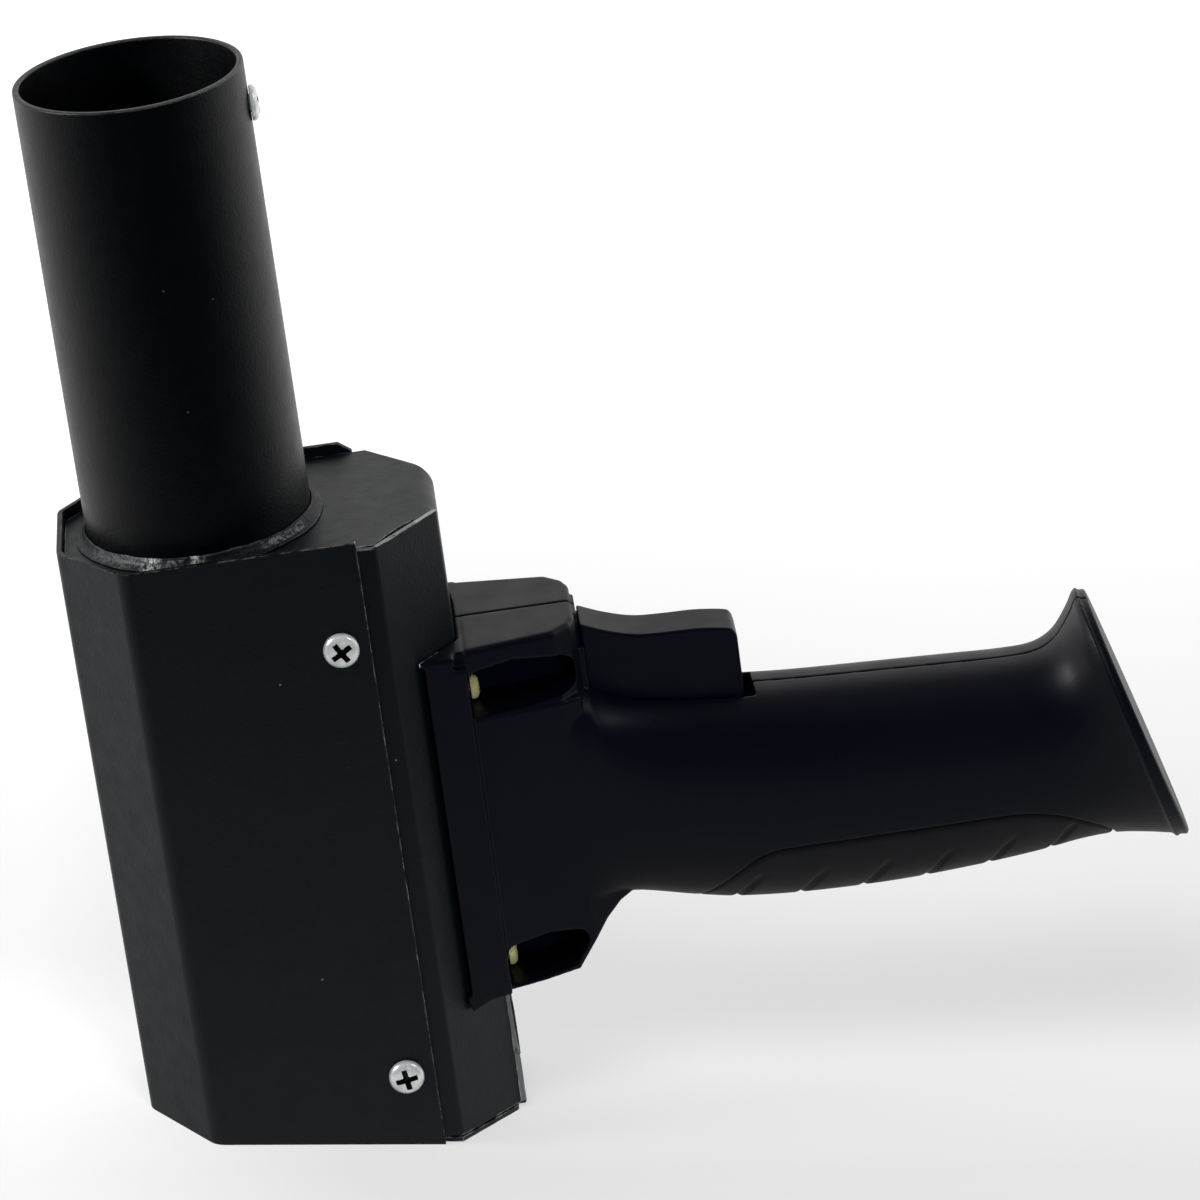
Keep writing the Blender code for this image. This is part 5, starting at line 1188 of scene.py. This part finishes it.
def padEdge(grow=0.0):
    # the pad's edge in the side view, with tapered ends that run out at the grip's underside
    start, end = wallX + pad["start"] - grow, wallX + pad["start"] + pad["length"] + grow
    line, below = gripLow + pad["height"] + grow, gripLow - pad["below"]
    return rounded(((start, below), (start, gripLow + pad["startRise"]), (start + pad["runIn"], line),
                    (end - pad["runOut"], line + pad["lineRise"]), (end, gripLow + pad["endRise"]), (end, below)),
                   pad["radii"], pad["radiusSteps"])


def makeShell(side):
    tag, parting = "front" if side < 0 else "back", grip["parting"]
    shell, *others = handleBlocks()
    join(shell, *others, gripForm("form", 0.0, grip["steps"], grip["sides"]))
    carve(shell, gripForm("cavity", grip["shell"], *grip["cavity"], withRim=False))
    lowY, highY = sorted((side * parting, side * grip["beyond"]))
    combine(shell, [block("half", (0, lowY, 0), (grip["beyond"], highY, grip["beyond"]))], 'INTERSECT')

    # posts, ribs and seats inside
    wallY, slotHalf = grip["half"] - grip["shell"] / 2, trigger["half"] + trigger["slotGap"]
    pinRadius, pinLength = grip["pivotPin"]
    pinReach = pinLength / 2 + fitGap
    posts = [(pivot.x, pivot.z, grip["pivotPost"], slotHalf, pinReach)]
    posts += [(x, z, screwSizes["grip"][0] + grip["postWall"], parting, wallY) for x, z in gripScrewPosts[2:]]
    inside = [pin("post", radius, outerY - innerY, (x, side * innerY, z), sideAxis[side])
              for x, z, radius, innerY, outerY in posts]
    for x, width, lowZ, highZ, innerY in grip["ribs"]:
        nearY, farY = sorted((side * innerY, side * wallY))
        inside.append(block("rib", (pivot.x + x, nearY, lowZ), (pivot.x + x + width, farY, highZ)))
    join(shell, *inside)

    # openings
    wall, chamferEnd = chassisCorners[2:]
    farX, (roomLow, roomTop), recessHalf = grip["roomX"], grip["roomZ"], grip["recessHalf"]
    outline = insetCorners(((chamferEnd[0], -chamferEnd[1]), (wall[0], -wall[1]), wall, chamferEnd,
                            (farX, chamferEnd[1]), (farX, -chamferEnd[1])), -fitGap)
    slotLow = trigger["foot"] - (triggerEndX - pivot.x) * sin(trigger["travel"]) - fitGap
    recess = sideways("padRecess", padEdge(fitGap), -recessHalf, recessHalf)
    carve(recess, gripForm("padBed", pad["thickness"] + fitGap, grip["steps"], grip["sides"], withRim=False))
    (channelStart, channelEnd), channelHalf, (channelLow, channelTop) = grip["channel"]
    carve(shell, upright("boxRoom", outline, roomLow, roomTop),
          *(pocketCutter(side, corners) for corners in pocketCorners()),
          block("slot", (headEndX + grip["slotStart"], -slotHalf, slotLow),
                (slotEndX, slotHalf, grip["headTop"] + grip["slotTop"])),
          block("channel", (pocketX + channelStart, -channelHalf, channelLow),
                (pivot.x + channelEnd, channelHalf, channelTop)), recess)
    holes = [pin("pivotHole", pinRadius + fitGap, 2 * pinReach, (pivot.x, -pinReach, pivot.z), "Y")]
    boreDepth, boreLength = grip["bore"]
    holes += flangeHoles(pocketX - boreDepth, boreLength)
    reach = screwSizes["grip"][3] + fitGap
    for x, z in gripScrewPosts:
        holes.append(pin("gripHole", screwSizes["grip"][2] + fitGap, reach, (x, gripScrewSeat - reach, z), "Y"))
        if side > 0:
            holes.append(pin("counterbore", screwSizes["grip"][0] + 2 * fitGap, grip["counterbore"],
                             (x, gripScrewSeat, z), "Y"))
    carve(shell, *holes)
    softenShell(shell)

    def rubbedAndHighlit(middle):
        # the top edge of the front ear, where it meets the box
        onTop = middle.z > grip["headTop"] - grip["rubDepth"] and middle.y < grip["rubY"]
        nearBox = -middle.y < chamferReach(middle.x) + fitGap + grip["rubNear"]
        return 1.0 if onTop and nearBox and middle.x < wallX - grip["rubX"] else 0.0

    markFaces(shell, "bare", rubbedAndHighlit)
    finishPiece(shell, handlePlastic, ["grip_shell_" + tag], sharp=60)
    shell.name = "gripShell_" + tag


def softenShell(shell):
    # moulded edges: remeshed, smoothed a little, and thinned out again
    step = shell.modifiers.new("moulded", 'REMESH')
    step.mode, step.voxel_size, step.adaptivity = 'VOXEL', grip["voxel"], 0.0
    settle(shell)
    step = shell.modifiers.new("smoothed", 'SMOOTH')
    step.factor, step.iterations = grip["smoothing"]
    shell.modifiers.new("thinned", 'DECIMATE').ratio = grip["keep"]
    settle(shell)


def makePad():
    # follows the grip's underside; its edge is rounded and the grooves are pressed into it
    edge = padEdge()
    start, end = wallX + pad["start"], wallX + pad["start"] + pad["length"]
    rows = [row for row in smoothRows(gripRows(), pad["rowSteps"])
            if start - pad["overlap"] <= row[2] <= end + pad["overlap"]]

    def edgeRise(point):
        return heightAt(edge, point.x, gripLow + pad["startRise"]) - point.z

    def rowAt(x):
        for near, far in zip(rows, rows[1:]):
            if near[2] <= x <= far[2]:
                return near.lerp(far, (x - near[2]) / (far[2] - near[2]))
        return rows[0] if x < rows[0][2] else rows[-1]

    def dropAt(point, climb):
        rimWidth = min(edgeRise(point), point.x - start, end - point.x)
        drop = pad["edgeDrop"] * max(0.0, 1 - max(rimWidth, 0.0) / pad["edge"]) ** 2
        place = (point.x - start - pad["grooveStart"] - climb * pad["grooveLean"]) / pad["grooveStep"]
        nearest = round(place)
        if 0 <= nearest < pad["grooves"]:
            off = abs(place - nearest) * pad["grooveStep"] / pad["grooveHalf"]
            fade = clamp((pad["grooveReach"] - climb) / pad["grooveFade"])
            drop += pad["grooveDepth"] * fade * max(0.0, 1 - off * off)
        return drop + pad["sink"]

    rings = []
    for index in range(pad["along"] + 1):
        row = rowAt(start + (end - start) * (index / pad["along"]))
        lowest, highest = -pi / 2, 0.0
        for _ in range(pad["trials"]):
            trial = (lowest + highest) / 2
            if edgeRise(sectionPoint(row, trial, 0.0)) > 0:
                lowest = trial
            else:
                highest = trial
        angles = [-pi / 2 + (2 * step / pad["across"] - 1) * (lowest + pi / 2) for step in range(pad["across"] + 1)]
        outer = []
        for angle in angles:
            point = sectionPoint(row, angle, 0.0)
            outer.append(sectionPoint(row, angle, dropAt(point, point.z - row[3])))
        rings.append(outer + [sectionPoint(row, angle, pad["thickness"]) for angle in reversed(angles)])
    part = partFrom("palmPad", skinRings(rings))
    finishPiece(part, padRubber, ["palm_pad"], sharp=50)


def makeTrigger():
    half, foot, top, wall = trigger["half"], trigger["foot"], trigger["top"], trigger["wall"]
    lug, crown = trigger["lug"], shifted(trigger["crown"], triggerX, top)
    outline = [tuple(point) for point in smoothRows([Vector(point) for point in crown], trigger["crownSteps"])]
    outline += [(triggerEndX, foot), (pivot.x + lug, foot)]
    outline += [(pivot.x + lug * cos(angle), pivot.z + lug * sin(angle)) for angle in trigger["lugAngles"]]
    part = sideways("triggerBlade", outline + [(triggerX, pivot.z)], -half, half)
    roundEdges(part, trigger["edge"], 4, 60)
    hollowHalf = half - wall
    carve(part, block("hollow", (pivot.x + trigger["hollowStart"] + wall, -hollowHalf, foot - trigger["hollowOpen"]),
                      (triggerEndX - wall, hollowHalf, top - trigger["hollowDrop"] - 2 * wall)))
    (ribStart, ribEnd), ribHalf = trigger["rib"], hollowHalf + trigger["ribOver"]
    ribLow = trigger["leverZ"] + trigger["leverRun"] * tan(trigger["leverSlope"]) + fitGap
    join(part, block("rib", (pivot.x + ribStart, -ribHalf, ribLow),
                     (pivot.x + ribEnd, ribHalf, top - trigger["ribDrop"])))
    carve(part, pin("bore", grip["pivotPin"][0] + fitGap, 4 * half, (pivot.x, -2 * half, pivot.z), "Y"))
    finishPiece(part, triggerPlastic, ["trigger"], body="trigger", sharp=40, flat=True)


returnSpring = {
    **sizes(wire=0.6, radius=2.2, length=14.0, fromPivot=7.0),
    "turns": 6,
    "endPitch": 0.64 * mm,      # the turn at each end lies flat
    "steps": 28,                # in a turn
    "sides": 12,
}


def makeReturnSpring():
    wire, turns = returnSpring["wire"], returnSpring["turns"]
    x, foot = pivot.x + returnSpring["fromPivot"], trigger["foot"] - fitGap - returnSpring["length"]
    rise, flat = returnSpring["length"] - wire - fitGap, returnSpring["endPitch"]
    slope = (rise - 2 * flat) / (turns - 2)
    rings = []
    for step in range(returnSpring["steps"] * turns + 1):
        turn = step / returnSpring["steps"]
        climb = min(turn, 1.0) * flat + max(0.0, min(turn, turns - 1) - 1) * slope + max(0.0, turn - turns + 1) * flat
        out = Vector((cos(2 * pi * turn), sin(2 * pi * turn), 0))
        middle = Vector((x, 0, foot + wire / 2 + climb)) + out * returnSpring["radius"]
        rings.append([middle + (out * cos(angle) + Vector((0, 0, sin(angle)))) * wire / 2
                      for angle in (2 * pi * side / returnSpring["sides"] for side in range(returnSpring["sides"]))])
    # the spring goes on no body: with bends, finishPiece leaves it unattached
    finishPiece(partFrom("returnSpring", skinRings(rings)), springSteel, ["trigger_spring"],
                body="trigger", sharp=60, bends=((x, 0, foot), (x, 0, foot + returnSpring["length"])))


makeScrews()
print("screws made")
makeReturnSpring()
makeShell(-1)
makeShell(1)
print("grip shells made")
makePad()
makeTrigger()
print("pad and trigger made")


# stage: floor, world and lamps

stageLook = {
    "reach": 8.0,
    "floor": 0.55,
    "floorGlow": 0.30,          # the floor's own light in reflections
    "seenFloor": 0.44,
    "seenGlow": 0.435,          # and for the camera
    "bandGlow": 0.11,           # the lit strip in front of the shadow
    "bandRise": (-0.045, 0.012),
    "bandFall": (0.070, 0.022),
    "farGlow": 0.50,            # more of it behind the object
    "farRise": (0.04, 0.60),
    "leftGlow": 0.14,           # and beside the box on its left
    "leftRise": (0.01, -0.07),
    "flagNear": -0.06,          # forward of here the floor fades out of reflections, as under a black flag
    "flagFar": -0.52,
    "flagSoft": 0.1,
    "flagShare": 0.62,
    "worldBack": 1.0,
    "worldFront": 0.018,
    "worldRise": (-0.55, 0.25),
    "worldTop": 0.25,
    "worldFall": (0.42, 0.85),
}
white = (1, 1, 1)


def splitPlace(tree, kind):
    place = addNode(tree, 'ShaderNodeTexCoord').outputs[kind]
    return addNode(tree, 'ShaderNodeSeparateXYZ', Vector=place).outputs


def makeStage():
    floor = bpy.data.meshes.new("floor")
    reach, look = stageLook["reach"], stageLook
    corners = [(-reach, -reach, 0), (reach, -reach, 0), (reach, reach, 0), (-reach, reach, 0)]
    floor.from_pydata(corners, [], [(0, 1, 2, 3)])
    sheet = addObject("floor", floor)
    material = bpy.data.materials.new("paleFloor")
    material.use_nodes = True
    tree = material.node_tree
    tree.nodes.clear()
    place = splitPlace(tree, "Object")
    x, y, near, share = place["X"], place["Y"], look["flagNear"], look["flagShare"]
    flag = math(tree, 'ADD', ramp(tree, y, look["flagFar"], near, 0.0, share),
                ramp(tree, y, near, near + look["flagSoft"], 0.0, 1 - share))
    far = ramp(tree, y, *look["farRise"], 0.0, look["farGlow"])
    left = ramp(tree, x, *look["leftRise"], 0.0, look["leftGlow"])
    band = math(tree, 'MULTIPLY', ramp(tree, y, *look["bandRise"], 0.0, look["bandGlow"]),
                ramp(tree, y, *look["bandFall"]))
    left = math(tree, 'ADD', left, band)
    seen = addNode(tree, 'ShaderNodeLightPath').outputs
    direct = seen["Is Camera Ray"]
    mirrored = math(tree, 'MAXIMUM', seen["Is Glossy Ray"], seen["Is Transmission Ray"])
    paintLevel = math(tree, 'MULTIPLY', math(tree, 'MAXIMUM', direct, flag),
                      ramp(tree, direct, 0.0, 1.0, look["floor"], look["seenFloor"]))
    directGlow = math(tree, 'ADD', math(tree, 'ADD', far, left), look["seenGlow"])
    mirroredGlow = math(tree, 'MULTIPLY', math(tree, 'MULTIPLY', mirrored, flag),
                        math(tree, 'ADD', far, look["floorGlow"]))
    strength = math(tree, 'ADD', math(tree, 'MULTIPLY', direct, directGlow), mirroredGlow)
    paint = addNode(tree, 'ShaderNodeBsdfDiffuse', Color=paintLevel)
    glow = addNode(tree, 'ShaderNodeEmission', Color=white, Strength=strength)
    both = addNode(tree, 'ShaderNodeAddShader')
    for socket, shader in zip(both.inputs, (paint, glow)):
        feed(tree, socket, shader.outputs[0])
    addNode(tree, 'ShaderNodeOutputMaterial', Surface=both.outputs[0])
    floor.materials.append(material)


def makeWorld():
    # a white surround that falls away to a dark room behind the camera
    world = bpy.data.worlds.new("studioSurround")
    world.use_nodes = True
    tree, look = world.node_tree, stageLook
    tree.nodes.clear()
    place = splitPlace(tree, "Generated")
    level = math(tree, 'MULTIPLY', ramp(tree, place["Y"], *look["worldRise"], look["worldFront"], look["worldBack"]),
                 ramp(tree, place["Z"], *look["worldFall"], 1.0, look["worldTop"]))
    seen = addNode(tree, 'ShaderNodeLightPath').outputs["Is Camera Ray"]
    light = addNode(tree, 'ShaderNodeBackground', Color=white, Strength=math(tree, 'MAXIMUM', seen, level))
    addNode(tree, 'ShaderNodeOutputWorld', Surface=light.outputs[0])
    bpy.context.scene.world = world


lamps = {
    # name: place, aimed at, side, watts, whether it lights surfaces, whether reflections show it
    "keyLamp": ((-1.45, -0.20, 0.89), (0.05, 0, 0.10), 0.40, 8.0, True, True),
    "frontLamp": ((-0.35, -0.90, 1.50), (0.05, 0, 0.05), 0.70, 11.0, True, False),
    "glintLamp": ((-1.45, -0.20, 0.89), (0.05, 0, 0.10), 0.16, 12.0, False, True),
    "sideLamp": ((1.0, -0.3, 1.3), (0.05, 0, 0.10), 0.20, 2.2, False, True),
    "fillLamp": ((0.50, -1.40, 0.40), (0.05, 0, 0.08), 0.50, 13.0, True, False),
}


def makeLamps():
    for name, (place, aim, side, watts, lighting, mirrored) in lamps.items():
        data = bpy.data.lights.new(name, 'AREA')
        data.shape = 'RECTANGLE'
        data.size, data.size_y, data.energy = side, side, watts
        lamp = addObject(name, data)
        lamp.location = place
        lamp.rotation_euler = (Vector(aim) - Vector(place)).to_track_quat('-Z', 'Y').to_euler()
        lamp.visible_diffuse, lamp.visible_glossy = lighting, mirrored


makeStage()
makeWorld()
makeLamps()
bpy.context.scene.view_settings.view_transform = 'Standard'
print("stage lit")
